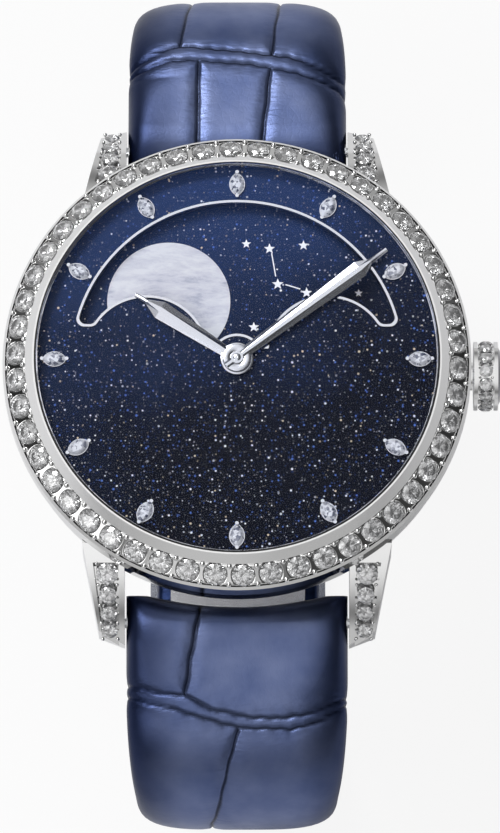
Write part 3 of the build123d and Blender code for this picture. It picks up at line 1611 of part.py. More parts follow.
def make_clasp():
    knuckle_start = fold_centre_knuckle / 2 + fold_knuckle_gap
    outer_knuckle = blade_half_width - knuckle_start
    with BuildPart() as base:
        with BuildSketch(Plane.XY.offset(base_low_z)):
            with Locations((0, (fold_hinge_y + fold_hinge_setback + base_blade_end_y) / 2)):
                Rectangle(2 * blade_half_width, base_blade_end_y - fold_hinge_y - fold_hinge_setback)
            with Locations((0, fold_hinge_y + fold_hinge_setback / 2)):
                Rectangle(fold_centre_knuckle, fold_hinge_setback)
        extrude(amount=blade_thickness)
        with BuildSketch(Plane.XY.offset(strap_flat_z["upper"] - strap_half_end)):
            with Locations((0, base_blade_end_y - base_plate_wall / 2)):
                Rectangle(2 * blade_half_width, base_plate_wall)
        extrude(amount=base_high_z - strap_flat_z["upper"] + strap_half_end)
        add(across_bar(fold_knuckle_radius, fold_centre_knuckle / 2, fold_hinge_y, fold_hinge_z))
        add(
            across_bar(fold_pin_radius + running_gap, fold_centre_knuckle, fold_hinge_y, fold_hinge_z),
            mode=Mode.SUBTRACT,
        )
    keep(base, "clasp_base_blade")
    with BuildPart() as fold:
        with BuildSketch(Plane.XY.offset(fold_low_z)):
            with Locations((0, (fold_hinge_y + fold_hinge_setback + fold_blade_end_y) / 2)):
                Rectangle(2 * blade_half_width, fold_blade_end_y - fold_hinge_y - fold_hinge_setback)
            for side in (1, -1):
                middle_x = side * (knuckle_start + outer_knuckle / 2)
                with Locations((middle_x, fold_hinge_y + fold_hinge_setback / 2)):
                    Rectangle(outer_knuckle, fold_hinge_setback)
        extrude(amount=blade_thickness)
        for side in (1, -1):
            middle = side * (knuckle_start + outer_knuckle / 2)
            add(across_bar(fold_knuckle_radius, outer_knuckle / 2, fold_hinge_y, fold_hinge_z, middle))
        add(
            across_bar(fold_pin_radius + running_gap, lug_gap, fold_hinge_y, fold_hinge_z),
            mode=Mode.SUBTRACT,
        )
    keep(fold, "clasp_fold_blade")
    with BuildPart() as hinge_pin:
        add(across_bar(fold_pin_radius, blade_half_width, fold_hinge_y, fold_hinge_z))
    keep(hinge_pin, "clasp_hinge_pin")
    with BuildPart() as cover:
        with BuildSketch(Plane.XY.offset(cover_high_z - cover_thickness)):
            with Locations((0, (cover_start_y + cover_end_y) / 2)):
                Rectangle(2 * cover_half_width, cover_end_y - cover_start_y)
        extrude(amount=cover_thickness)
        with BuildSketch(Plane.XY.offset(cover_high_z)):
            for side in (1, -1):
                middle_x = side * (cover_half_width - cover_post_width / 2)
                with Locations((middle_x, (cover_post_start_y + cover_end_y) / 2)):
                    Rectangle(cover_post_width, cover_end_y - cover_post_start_y)
        extrude(amount=2 * strap_half_end)
        pin_z = strap_flat_z["lower"]
        add(across_bar(cover_pin_radius + seat_gap, lug_gap, cover_pin_y, pin_z), mode=Mode.SUBTRACT)
    keep(cover, "clasp_cover")
    with BuildPart() as cover_pin:
        add(across_bar(cover_pin_radius, cover_half_width, cover_pin_y, pin_z))
    keep(cover_pin, "clasp_cover_pin")


make_bezel()
make_case_middle()
make_lug_diamonds()
make_spring_bars()
make_case_back()
make_crystal()
make_casing_ring()
make_crown()
make_dial()
make_markers()
make_moon_disc()
make_hands()
make_train()
make_escapement()
make_winding()
make_motion_works()
make_bridges()
for strap_half in ("upper", "lower"):
    make_strap(strap_half)
make_clasp()
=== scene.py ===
"""The looks of a moon phase watch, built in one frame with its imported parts."""

from math import atan2, cos, pi, radians, sin, tan

import bpy
import numpy as np
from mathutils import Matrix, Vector


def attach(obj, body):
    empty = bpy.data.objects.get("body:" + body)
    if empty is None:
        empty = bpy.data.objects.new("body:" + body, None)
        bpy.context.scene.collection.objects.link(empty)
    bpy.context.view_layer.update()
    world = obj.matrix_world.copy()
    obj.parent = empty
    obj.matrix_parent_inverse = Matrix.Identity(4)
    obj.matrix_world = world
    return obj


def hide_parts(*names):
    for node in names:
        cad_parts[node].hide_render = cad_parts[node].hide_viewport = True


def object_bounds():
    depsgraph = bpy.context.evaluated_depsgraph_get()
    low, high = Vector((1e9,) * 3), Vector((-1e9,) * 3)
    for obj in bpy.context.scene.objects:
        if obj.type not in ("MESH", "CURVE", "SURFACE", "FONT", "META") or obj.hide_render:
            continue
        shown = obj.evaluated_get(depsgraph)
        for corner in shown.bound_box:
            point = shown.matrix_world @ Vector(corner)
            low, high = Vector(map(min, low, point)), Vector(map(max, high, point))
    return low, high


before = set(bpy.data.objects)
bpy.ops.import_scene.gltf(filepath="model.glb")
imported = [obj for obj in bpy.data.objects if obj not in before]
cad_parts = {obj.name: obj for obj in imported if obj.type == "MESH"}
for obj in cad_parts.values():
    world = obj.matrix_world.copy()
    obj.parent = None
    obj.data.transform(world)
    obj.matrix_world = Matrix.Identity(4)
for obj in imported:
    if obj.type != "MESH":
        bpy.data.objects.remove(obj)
cad_low, cad_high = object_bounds()
MM = 0.001

# Studio: a pale floor under the clasp, a soft white room and a camera with a long lens.
# The camera stands on the six o'clock side of the watch, 15.6 degrees off the dial's axis.
camera_tilt = radians(15.6)
camera_distance = 700 * MM
camera_lens = 374
camera_aim = (1.05 * MM, -4.43 * MM, 7.26 * MM)
floor_half = 900
floor_gap = 0.05
floor_glow = 0.88
room_top = 1.1
room_side = 0.1
side_height = 0.2
top_height = 0.93
wall_light = 0.5
wall_top = 0.4
wall_foot = 0.1
band_middle = -0.16
band_inner = 0.1
band_outer = 0.48
band_dim = 0.08


def linear(code):
    """The linear colour of an sRGB hex code."""
    parts = [int(code[i : i + 2], 16) / 255 for i in (1, 3, 5)]
    return (*[p / 12.92 if p <= 0.04045 else ((p + 0.055) / 1.055) ** 2.4 for p in parts], 1.0)


def add(tree, kind, inputs=None, **settings):
    """Adds a node of a kind with its settings. Inputs hold values, the sockets that feed them, or nodes that
    feed them from their first socket."""
    made = tree.nodes.new("ShaderNode" + kind)
    for name, value in settings.items():
        setattr(made, name, value)
    for name, value in (inputs or {}).items():
        if isinstance(value, bpy.types.Node):
            value = value.outputs[0]
        if isinstance(value, bpy.types.NodeSocket):
            tree.links.new(value, made.inputs[name])
        else:
            made.inputs[name].default_value = value
    return made


def new_material(name):
    """An empty material and its node tree."""
    made = bpy.data.materials.new(name)
    made.use_nodes = True
    made.node_tree.nodes.clear()
    return made, made.node_tree


def new_object(name, vertices, faces, material, smooth=True):
    """A mesh object at the origin from arrays of vertices in millimetres and faces."""
    mesh = bpy.data.meshes.new(name)
    mesh.from_pydata((np.asarray(vertices, float) * MM).tolist(), [], [list(map(int, f)) for f in faces])
    mesh.polygons.foreach_set("use_smooth", np.full(len(mesh.polygons), smooth))
    mesh.materials.append(material)
    mesh.update()
    made = bpy.data.objects.new(name, mesh)
    bpy.context.scene.collection.objects.link(made)
    return made


floor_white, tree = new_material("pale_floor")
floor_low = cad_low.z / MM - floor_gap
path = add(tree, "LightPath")
seen = add(
    tree,
    "Math",
    {0: path.outputs["Is Camera Ray"], 1: path.outputs["Is Transmission Ray"]},
    operation="MAXIMUM",
)
shade = add(tree, "BsdfDiffuse", {"Color": linear("#f4f4f5")})
glow = add(tree, "Emission", {"Color": (1.0, 1.0, 1.0, 1.0), "Strength": 1.0})
both = add(tree, "MixShader", {0: floor_glow, 1: shade, 2: glow})
mixed = add(tree, "MixShader", {0: seen, 1: shade, 2: both})
add(tree, "OutputMaterial", {"Surface": mixed})
corners = [(x * floor_half, y * floor_half, floor_low) for x, y in ((-1, -1), (1, -1), (1, 1), (-1, 1))]
floor = new_object("floor", corners, [(0, 1, 2, 3)], floor_white)

bpy.context.scene.view_settings.view_transform = "Standard"
camera = bpy.data.objects.new("camera", bpy.data.cameras.new("camera"))
bpy.context.scene.collection.objects.link(camera)
bpy.context.scene.camera = camera
to_camera = Vector((0, -sin(camera_tilt), cos(camera_tilt)))
camera.data.lens = camera_lens
camera.data.clip_start = 50 * MM
camera.data.clip_end = 20
camera.location = Vector(camera_aim) + to_camera * camera_distance
camera.rotation_mode = "QUATERNION"
camera.rotation_quaternion = (-to_camera).to_track_quat("-Z", "Y")

# The room has a white band of light overhead from front to back, dark flanks and a grey rim of wall.
# Inputs 0 to 4 of a map range are its value, the two ends of its source and the two ends of its result.
world = bpy.data.worlds.new("room")
bpy.context.scene.world = world
world.use_nodes = True
tree = world.node_tree
tree.nodes.clear()
way = add(tree, "TexCoord")
height = add(tree, "SeparateXYZ", {0: way.outputs["Generated"]})
level = add(
    tree,
    "MapRange",
    {0: height.outputs["Z"], 1: side_height, 2: top_height, 3: room_side, 4: room_top},
    interpolation_type="SMOOTHSTEP",
)
aside = add(tree, "Math", {0: height.outputs["X"], 1: band_middle}, operation="SUBTRACT")
aside = add(tree, "Math", {0: aside}, operation="ABSOLUTE")
shaded = add(
    tree,
    "MapRange",
    {0: aside, 1: band_inner, 2: band_outer, 3: 1.0, 4: band_dim},
    interpolation_type="SMOOTHSTEP",
)
level = add(tree, "Math", {0: level, 1: shaded}, operation="MULTIPLY")
wall = add(
    tree,
    "MapRange",
    {0: height.outputs["Z"], 1: wall_foot, 2: wall_top, 3: wall_light, 4: 0.0},
    interpolation_type="SMOOTHSTEP",
)
level = add(tree, "Math", {0: level, 1: wall}, operation="ADD")
path = add(tree, "LightPath")
level = add(tree, "Math", {0: level, 1: path.outputs["Is Camera Ray"]}, operation="MAXIMUM")
background = add(tree, "Background", {"Color": (1.0, 1.0, 1.0, 1.0), "Strength": level})
add(tree, "OutputWorld", {"Surface": background})


def softbox(name, place, size, power, target=(0.0, 0.0, 0.0)):
    """A square area lamp in metres that faces a target."""
    lamp = bpy.data.lights.new(name, "AREA")
    lamp.size = size
    lamp.energy = power
    made = bpy.data.objects.new(name, lamp)
    made.location = place
    made.rotation_mode = "QUATERNION"
    made.rotation_quaternion = (Vector(place) - Vector(target)).to_track_quat("Z", "Y")
    bpy.context.scene.collection.objects.link(made)


softbox("key_softbox", (-0.35, 0.45, 0.75), 0.35, 4.2)
softbox("fill_softbox", (-0.55, -0.3, 0.55), 0.4, 1.0)

# Case: white gold, turned and milled, then polished to a mirror by hand.
# It holds the lugs, the crown's tube and the back. The finest hairlines of the polishing wheel stay.
polish_hairline = 0.05
hairline_depth = 0.01
rough_least = 0.7
rough_most = 1.4
case_nodes = ("case_middle", "bezel", "crown_tube", "dial_flange", "aperture_frame")


def metal(name, colour, roughness, hairline_mm, strength, stretch=(1.0, 1.0, 1.0)):
    """A metal with fine lines of a size in millimetres in its roughness and surface."""
    made, tree = new_material(name)
    where = add(tree, "TexCoord")
    turned = add(tree, "Mapping", {"Vector": where.outputs["Object"], "Scale": stretch})
    lines = add(
        tree,
        "TexNoise",
        {"Vector": turned, "Scale": 1 / (hairline_mm * MM), "Detail": 3.0, "Roughness": 0.6},
    )
    ends = {0: lines, 3: roughness * rough_least, 4: roughness * rough_most}
    rough = add(tree, "MapRange", ends)
    relief = {"Strength": strength, "Distance": hairline_depth * MM, "Height": lines}
    bump = add(tree, "Bump", relief)
    shader = add(
        tree,
        "BsdfPrincipled",
        {"Base Color": linear(colour), "Metallic": 1.0, "Roughness": rough, "Normal": bump},
    )
    add(tree, "OutputMaterial", {"Surface": shader})
    return made


def dress(material, *names):
    """Gives CAD nodes a material."""
    for name in names:
        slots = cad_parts[name].data.materials
        slots.clear()
        slots.append(material)


white_gold = metal("polished_white_gold", "#e8e8e8", 0.08, polish_hairline, 0.02)
dress(white_gold, *case_nodes)

# Bezel stones: fifty round brilliants, cut with a table, kites, stars and a pavilion of sixteen halves.
# They sit girdle to girdle in the bezel's sloping channel, and two small beads of metal stand in each gap.
bezel_stones = 50
bezel_stone_size = 1.86
bezel_stone_first = -1.6
bezel_stone_circle = 17.958
bezel_stone_height = 8.189
bezel_slope = atan2(1.02, 1.62)
bezel_bead = 0.23
bezel_bead_sink = 0.03
bezel_bead_circles = (17.33, 18.64)
bead_foot = 0.8
bezel_channel_inner = 17.18
bezel_channel_height = 8.75
bezel_web_reach = 0.92
bezel_web_lift = 0.02
bezel_web_thickness = 0.06
table_share = 0.28
star_share = 0.379
crown_share = 0.14
star_height_share = 0.095
girdle_share = 0.02
pavilion_share = 0.42
half_share = 0.12
half_depth_share = 0.327
diamond_seed = 5


def even_turns(count):
    """Even angles round a circle."""
    return np.arange(count) * 2 * pi / count


def on_circle(angles, radius, height):
    """Points on a level circle: radius times cosine, radius times sine, height."""
    return np.column_stack([radius * np.cos(angles), radius * np.sin(angles), np.full(len(angles), height)])


def brilliant_cut():
    """Vertices and faces of a round brilliant of one millimetre: eight-fold rings for the table, the stars,
    the lower halves and the culet, and sixteen girdle points above and below."""
    eight, sixteen = even_turns(8), even_turns(16)
    table = on_circle(eight, table_share, girdle_share + crown_share)
    stars = on_circle(eight + pi / 8, star_share, girdle_share + star_height_share)
    upper = on_circle(sixteen, 0.5, girdle_share)
    lower = on_circle(sixteen, 0.5, 0.0)
    halves = on_circle(eight + pi / 8, half_share, -half_depth_share)
    culet = np.array([[0.0, 0.0, -pavilion_share]])
    k = np.arange(8)
    following = (k + 1) % 8
    before = (k - 1) % 8
    s, u, w, h, c = 8, 16, 32, 48, 56
    faces = [list(range(8))]
    faces += np.column_stack([k, s + k, following]).tolist()
    faces += np.column_stack([k, s + before, u + 2 * k, s + k]).tolist()
    faces += np.column_stack([s + k, u + 2 * k, u + 2 * k + 1]).tolist()
    faces += np.column_stack([s + k, u + 2 * k + 1, u + (2 * k + 2) % 16]).tolist()
    j = np.arange(16)
    faces += np.column_stack([u + j, w + j, w + (j + 1) % 16, u + (j + 1) % 16]).tolist()
    faces += np.column_stack([h + k, w + 2 * k + 1, w + 2 * k]).tolist()
    faces += np.column_stack([h + k, w + (2 * k + 2) % 16, w + 2 * k + 1]).tolist()
    faces += np.column_stack([np.full(8, c), h + k, w + 2 * k, h + before]).tolist()
    return np.vstack([table, stars, upper, lower, halves, culet]), faces


def placed(points, faces, places, out, up, sizes, turns):
    """Copies of a shape: each is turned about its own Z, scaled, stood along its out direction and moved to
    its place. Point times turn and size, written in the axes (side, along, out), plus place."""
    sizes, turns = np.broadcast_to(sizes, len(places)), np.broadcast_to(turns, len(places))
    out = np.broadcast_to(out, places.shape)
    out = out / np.linalg.norm(out, axis=1, keepdims=True)
    side = np.cross(up, out)
    side /= np.linalg.norm(side, axis=1, keepdims=True)
    along = np.cross(out, side)
    c, s = np.cos(turns)[:, None], np.sin(turns)[:, None]
    x = (points[:, 0] * c - points[:, 1] * s) * sizes[:, None]
    y = (points[:, 0] * s + points[:, 1] * c) * sizes[:, None]
    z = points[:, 2] * sizes[:, None]
    made = places[:, None] + x[:, :, None] * side[:, None]
    made = made + y[:, :, None] * along[:, None] + z[:, :, None] * out[:, None]
    every = [[v + n * len(points) for v in face] for n in range(len(places)) for face in faces]
    return made.reshape(-1, 3), every


# Clear diamond: glass of index 2.42 with a faint grey. A small share is plain white, for the light that a
# stone gives back after more turns inside than a render follows.
diamond, tree = new_material("cut_diamond")
where = add(tree, "TexCoord")
cloud = add(tree, "TexNoise", {"Vector": where.outputs["Object"], "Scale": 1 / (1.5 * MM)})
tints = {0: cloud, "A": linear("#ffffff"), "B": linear("#f4f5f8")}
tint = add(tree, "Mix", tints, data_type="RGBA")
shader = add(
    tree,
    "BsdfPrincipled",
    {"Base Color": tint.outputs["Result"], "Roughness": 0.0, "IOR": 2.42, "Transmission Weight": 0.86},
)
add(tree, "OutputMaterial", {"Surface": shader})
chance = np.random.default_rng(diamond_seed)
stone_points, stone_faces = brilliant_cut()
angles = radians(90 - bezel_stone_first) - even_turns(bezel_stones)
places = on_circle(angles, bezel_stone_circle, bezel_stone_height)
leaning = on_circle(angles, sin(bezel_slope), cos(bezel_slope))
upright = np.array([0.0, 0.0, 1.0])
spin = chance.uniform(0, 2 * pi, bezel_stones)
points, faces = placed(stone_points, stone_faces, places, leaning, upright, bezel_stone_size, spin)
stones = new_object("bezel_brilliants", points, faces, diamond, smooth=False)
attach(stones, "case")
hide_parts("bezel_diamonds")


def bead_points():
    """A half ball of radius one on a short foot: rings of points at even angles from the rim to the pole."""
    rings, around = 4, 8
    turns = even_turns(around)
    rows = [on_circle(turns, bead_foot, -bead_foot)]
    rows += [on_circle(turns, cos(a), sin(a)) for a in np.arange(rings) * pi / 2 / rings]
    faces = []
    for i in range(around):
        j = (i + 1) % around
        for low in range(0, rings * around, around):
            faces.append([low + i, low + j, low + around + j, low + around + i])
        faces.append([rings * around + i, rings * around + j, (rings + 1) * around])
    faces.append([around - 1 - i for i in range(around)])
    return np.vstack([*rows, [[0.0, 0.0, 1.0]]]), faces


bead_shape, bead_faces = bead_points()
gap_angles = angles + pi / bezel_stones
leaning = on_circle(gap_angles, sin(bezel_slope), cos(bezel_slope))
places = []
for reach in bezel_bead_circles:
    lift = bezel_channel_height - (reach - bezel_channel_inner) * tan(bezel_slope) - bezel_bead_sink
    places.append(on_circle(gap_angles, reach, lift))
points, faces = placed(
    bead_shape, bead_faces, np.vstack(places), np.vstack([leaning, leaning]), upright, bezel_bead, 0.0
)
beads = new_object("bezel_beads", points, faces, white_gold)
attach(beads, "case")


def web_points(steps=9, columns=5):
    """The metal between two neighbouring stones: a sheet whose sides are the stones' own circles. Half its
    width is half the stones' pitch less the root of radius squared less reach squared."""
    reach = np.linspace(-bezel_web_reach, bezel_web_reach, steps)
    radius = bezel_stone_size / 2
    pitch = 2 * pi * (bezel_stone_circle + reach * cos(bezel_slope)) / bezel_stones
    half = pitch / 2 - np.sqrt(np.maximum(radius**2 - reach**2, 0))
    across = np.linspace(-1, 1, columns)
    sheet = np.stack(np.broadcast_arrays(half[:, None] * across, -reach[:, None], 0.0), axis=-1)
    i, j = np.meshgrid(np.arange(steps - 1), np.arange(columns - 1), indexing="ij")
    a = (i * columns + j).ravel()
    return sheet.reshape(-1, 3), np.column_stack([a, a + columns, a + columns + 1, a + 1]).tolist()


web_shape, web_faces = web_points()
web_places = on_circle(gap_angles, bezel_stone_circle, bezel_stone_height + bezel_web_lift)
points, faces = placed(web_shape, web_faces, web_places, leaning, upright, 1.0, 0.0)
webs = new_object("bezel_webs", points, faces, white_gold)
webs.modifiers.new("thickness", "SOLIDIFY").thickness = bezel_web_thickness * MM
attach(webs, "case")

# Lug stones: four brilliants on each lug, smaller towards its tip, in a channel along the lug's curved top.
# Two beads of metal stand in each gap, and the channel's polished walls frame the row.
lug_line_start = (14.6, 5.75)
lug_line_end = (21.8, 0.5)
lug_line_rise = 0.75
lug_stone_sizes = np.array([1.8, 1.45, 1.35, 1.28])
lug_stone_shares = np.array([0.28, 0.482, 0.665, 0.85])
lug_channel_x = 9.55
lug_channel_start = 2.1
lug_channel_end = 1.4
lug_stone_sink = 0.05
lug_bead = 0.16
lug_bead_sink = 0.02
lug_bead_across = 0.84
lug_end_beads = (0.185, 0.93)


def lug_line(shares):
    """Points and outward normals on the lug's top, an arc through both ends: centre plus radius times the
    direction that turns evenly from the first end to the last. Returned as (y, z) rows."""
    a, b = np.array(lug_line_start), np.array(lug_line_end)
    chord = b - a
    long = np.hypot(*chord)
    out = np.array([-chord[1], chord[0]]) / long
    reach = (long**2 / 4 + lug_line_rise**2) / (2 * lug_line_rise)
    middle = (a + b) / 2 - out * (reach - lug_line_rise)
    first, last = (atan2(*(p - middle)[::-1]) for p in (a, b))
    turn = first + (last - first) * shares
    normals = np.column_stack([np.cos(turn), np.sin(turn)])
    return middle + normals * reach, normals


def on_lugs(shares, across, sink):
    """Places and directions on all four lugs. Across runs from minus one to one over the channel's width."""
    spots, normals = lug_line(shares)
    width = lug_channel_start + (lug_channel_end - lug_channel_start) * shares
    x = lug_channel_x + width * (0.5 + across / 2)
    spots = spots - normals * sink
    rows, ways = [], []
    for side in (1, -1):
        for end in (1, -1):
            rows.append(np.column_stack([side * x, end * spots[:, 0], spots[:, 1]]))
            ways.append(np.column_stack([np.zeros(len(x)), end * normals[:, 0], normals[:, 1]]))
    return np.vstack(rows), np.vstack(ways)


forward = np.array([0.0, 1.0, 0.0])
places, ways = on_lugs(lug_stone_shares, 0.0, lug_stone_sink)
sizes = np.tile(lug_stone_sizes, 4)
spin = chance.uniform(0, 2 * pi, len(places))
points, faces = placed(stone_points, stone_faces, places, ways, forward, sizes, spin)
lug_stones = new_object("lug_brilliants", points, faces, diamond, smooth=False)
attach(lug_stones, "case")
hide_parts("lug_diamonds")
gaps = (lug_stone_shares[:-1] + lug_stone_shares[1:]) / 2
bead_shares = np.array([lug_end_beads[0], *gaps, lug_end_beads[1]])
both = [on_lugs(bead_shares, side * lug_bead_across, lug_bead_sink) for side in (-1, 1)]
places, ways = (np.vstack(rows) for rows in zip(*both))
points, faces = placed(bead_shape, bead_faces, places, ways, forward, lug_bead, 0.0)
lug_beads = new_object("lug_beads", points, faces, white_gold)
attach(lug_beads, "case")

# Crown: a turned white gold knob with fifteen brilliants round it and a dark blue domed stone on its end.
# It turns to wind the mainspring and pulls out to set the hands.
crown_stones = 15
crown_stone_size = 1.06
crown_middle = np.array([20.225, 0.0, 3.544])
crown_stone_reach = 2.68
crown_bead = 0.11
crown_bead_sink = 0.1
crown_bead_aside = 0.5
rightward = np.array([1.0, 0.0, 0.0])
dress(white_gold, "crown")
angles = even_turns(crown_stones)
outward = np.roll(on_circle(angles, 1.0, 0.0), 1, axis=1)
places = crown_middle + outward * crown_stone_reach
spin = chance.uniform(0, 2 * pi, crown_stones)
points, faces = placed(stone_points, stone_faces, places, outward, rightward, crown_stone_size, spin)
crown_ring = new_object("crown_brilliants", points, faces, diamond, smooth=False)
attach(crown_ring, "crown_set")
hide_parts("crown_diamonds")
outward = np.roll(on_circle(angles + pi / crown_stones, 1.0, 0.0), 1, axis=1)
places = crown_middle + outward * (crown_stone_reach - crown_bead_sink)
places = np.vstack([places + side * crown_bead_aside * rightward for side in (-1, 1)])
outward = np.vstack([outward, outward])
points, faces = placed(bead_shape, bead_faces, places, outward, rightward, crown_bead, 0.0)
crown_beads = new_object("crown_beads", points, faces, white_gold)
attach(crown_beads, "crown_set")

cabochon, tree = new_material("dark_blue_sapphire")
where = add(tree, "TexCoord")
size = {"Vector": where.outputs["Object"], "Scale": 1 / (0.8 * MM), "Detail": 2.0}
silk = add(tree, "TexNoise", size)
blues = {0: silk, "A": linear("#0a1030"), "B": linear("#16235c")}
depth = add(tree, "Mix", blues, data_type="RGBA")
shader = add(
    tree,
    "BsdfPrincipled",
    {
        "Base Color": depth.outputs["Result"],
        "Roughness": 0.03,
        "IOR": 1.77,
        "Coat Weight": 1.0,
        "Coat Roughness": 0.0,
    },
)
add(tree, "OutputMaterial", {"Surface": shader})
dress(cabochon, "crown_cabochon")

# Dial: dark blue aventurine glass, cut as a thin disc and polished, with painted light: paler towards eleven
# o'clock and darker towards five. Copper flakes grow in the glass as it cools; each is a painted glint of
# white, blue or gold at random, brighter towards six o'clock. The real one's words are left off.
# Each kind of flake is a row: the size of its cells, its own size as a share of them, and its painted glint's
# strength.
flake_kinds = ((0.24, 0.3, 0.5), (0.42, 0.22, 2.6), (0.9, 0.12, 3.4))
flake_rarity = 3.5
flake_first = "#5578cc"
flake_others = ((0.36, "#eef0fa"), (0.68, "#e8d6b8"), (0.78, "#4d6cc0"), (0.92, "#ffffff"))
glint_dimmest = 0.5
glint_dimmest_y = 12
glint_brightest_y = -8
dial_painted_light_end = (-7.0, 15.0)
dial_painted_shade_end = (4.0, -9.0)
dial_cloud = 15
aventurine, tree = new_material("blue_aventurine_glass")
where = add(tree, "TexCoord")
spot = where.outputs["Object"]
axes = add(tree, "SeparateXYZ", {0: spot})
# Painted highlight: the glass is paler towards eleven o'clock, a painted reflection of the lamps, and darker
# towards five. How pale it is follows the way from the painted shade end to the painted light end, plus a
# cloud.
way = np.array(dial_painted_light_end) - np.array(dial_painted_shade_end)
way = way / (way @ way) / MM
x_share = add(tree, "Math", {0: axes.outputs["X"], 1: way[0]}, operation="MULTIPLY")
y_share = add(tree, "Math", {0: axes.outputs["Y"], 1: way[1]}, operation="MULTIPLY")
share = add(tree, "Math", {0: x_share, 1: y_share}, operation="ADD")
cloud = add(tree, "TexNoise", {"Vector": spot, "Scale": 1 / (dial_cloud * MM), "Detail": 2.0})
share = add(tree, "Math", {0: share, 1: cloud}, operation="ADD")
ends = {0: share, 1: 0.15, 2: 1.25}
painted_light = add(tree, "MapRange", ends, interpolation_type="SMOOTHSTEP")
blues = {0: painted_light, "A": linear("#070a18"), "B": linear("#2c426e")}
glass = add(tree, "Mix", blues, data_type="RGBA")
# The painted glints are dimmer towards twelve o'clock and brightest towards six.
ends = {0: axes.outputs["Y"], 1: glint_dimmest_y * MM, 2: glint_brightest_y * MM, 3: glint_dimmest, 4: 1.0}
glint_towards_six = add(tree, "MapRange", ends)
colour = glass.outputs["Result"]
# Each flake is a painted glint: a dot of random brightness and colour in its own cell.
for cell, size, strength in flake_kinds:
    grid = {"Vector": spot, "Scale": 1 / (cell * MM)}
    cells = add(tree, "TexVoronoi", grid, voronoi_dimensions="2D")
    random = add(tree, "SeparateColor", {0: cells.outputs["Color"]})
    reach = add(tree, "Math", {0: random, 1: size}, operation="MULTIPLY")
    ends = {0: cells.outputs["Distance"], 1: reach}
    dot = add(tree, "Math", ends, operation="LESS_THAN")
    painted_glint = add(tree, "Math", {0: random.outputs[1], 1: flake_rarity}, operation="POWER")
    for factor in (glint_towards_six, dot, strength):
        ends = {0: painted_glint, 1: factor}
        painted_glint = add(tree, "Math", ends, operation="MULTIPLY", use_clamp=True)
    hue = add(tree, "ValToRGB", {0: random.outputs[2]})
    ramp = hue.color_ramp
    ramp.interpolation = "CONSTANT"
    ramp.elements.remove(ramp.elements[1])
    ramp.elements[0].color = linear(flake_first)
    for place, code in flake_others:
        ramp.elements.new(place).color = linear(code)
    blend = {0: painted_glint, "A": colour, "B": hue}
    colour = add(tree, "Mix", blend, data_type="RGBA").outputs["Result"]
shader = add(
    tree,
    "BsdfPrincipled",
    {"Base Color": colour, "Roughness": 0.3, "IOR": 1.5, "Specular IOR Level": 0.07},
)
add(tree, "OutputMaterial", {"Surface": shader})
dress(aventurine, "dial", "moon_disc")

# Moon disc: it carries two mother-of-pearl moons, and stars with thin lines between them in white gold.
# Pearl shell is white with soft grey and blue clouds, and a gloss under which its layers show.
pearl_tones = ((0.36, "#c3c6d2"), (0.6, "#fafafa"))
pearl_cloud = 1.5
pearl_warp = 3.2
pearl_bend = 2.2
pearl, tree = new_material("mother_of_pearl")
where = add(tree, "TexCoord")
stretch = {"Vector": where.outputs["Object"], "Rotation": (0, 0, 0.25), "Scale": (0.5, 1.5, 1)}
long = add(tree, "Mapping", stretch)
warp = add(tree, "TexNoise", {"Vector": long, "Scale": 1 / (pearl_warp * MM), "Detail": 3.0})
bent = add(tree, "VectorMath", {0: warp.outputs["Color"], "Scale": pearl_bend * MM}, operation="SCALE")
bent = add(tree, "VectorMath", {0: long, 1: bent}, operation="ADD")
size = {"Vector": bent, "Scale": 1 / (pearl_cloud * MM), "Detail": 6.0, "Roughness": 0.62}
clouds = add(tree, "TexNoise", size)
tones = add(tree, "ValToRGB", {0: clouds})
for element, (place, code) in zip(tones.color_ramp.elements, pearl_tones):
    element.position = place
    element.color = linear(code)
middle_tone = tones.color_ramp.elements.new(0.45)
middle_tone.color = linear("#e4e4ea")
shader = add(
    tree,
    "BsdfPrincipled",
    {
        "Base Color": tones,
        "Roughness": 0.3,
        "IOR": 1.53,
        "Coat Weight": 0.4,
        "Coat Roughness": 0.05,
    },
)
add(tree, "OutputMaterial", {"Surface": shader})
dress(pearl, "moons")

satin_gold = metal("satin_white_gold", "#eeeeef", 0.34, 0.12, 0.1)
dress(satin_gold, "stars")

# Hour markers: twelve marquise diamonds, each in a white gold setting with a claw at both points.
# The cut follows a brilliant's crown, drawn out to two points, and its colour is a painted sparkle of grey
# and white cells.
marker_count = 12
marker_circle = 14.78
marker_height = 8.71
marquise_half_length = 0.96
marquise_half_width = 0.58
marquise_rise = 0.26
marquise_facet = 0.22
marquise_belly = 0.05
painted_sparkle_tones = ((0.05, "#5c6276"), (0.6, "#ffffff"))
dress(white_gold, "hour_marker_settings")


def marquise_cut():
    """A brilliant's points with each radius stretched to a pointed oval: the oval is two arcs of one radius,
    and a ray from the middle meets its arc at sine times drop plus the root of radius squared less the square
    of cosine times drop."""
    reach = (marquise_half_length**2 + marquise_half_width**2) / (2 * marquise_half_width)
    drop = marquise_half_width - reach
    points = stone_points.copy()
    radius = np.hypot(points[:, 0], points[:, 1])
    angle = np.arctan2(points[:, 1], points[:, 0])
    up = np.abs(np.sin(angle))
    edge = up * drop + np.sqrt((up * drop) ** 2 - drop**2 + reach**2)
    points[:, 0] = np.cos(angle) * edge * radius * 2
    points[:, 1] = np.sin(angle) * edge * radius * 2
    crown_rise = marquise_rise / (girdle_share + crown_share)
    points[:, 2] *= np.where(points[:, 2] > 0, crown_rise, marquise_belly)
    return points
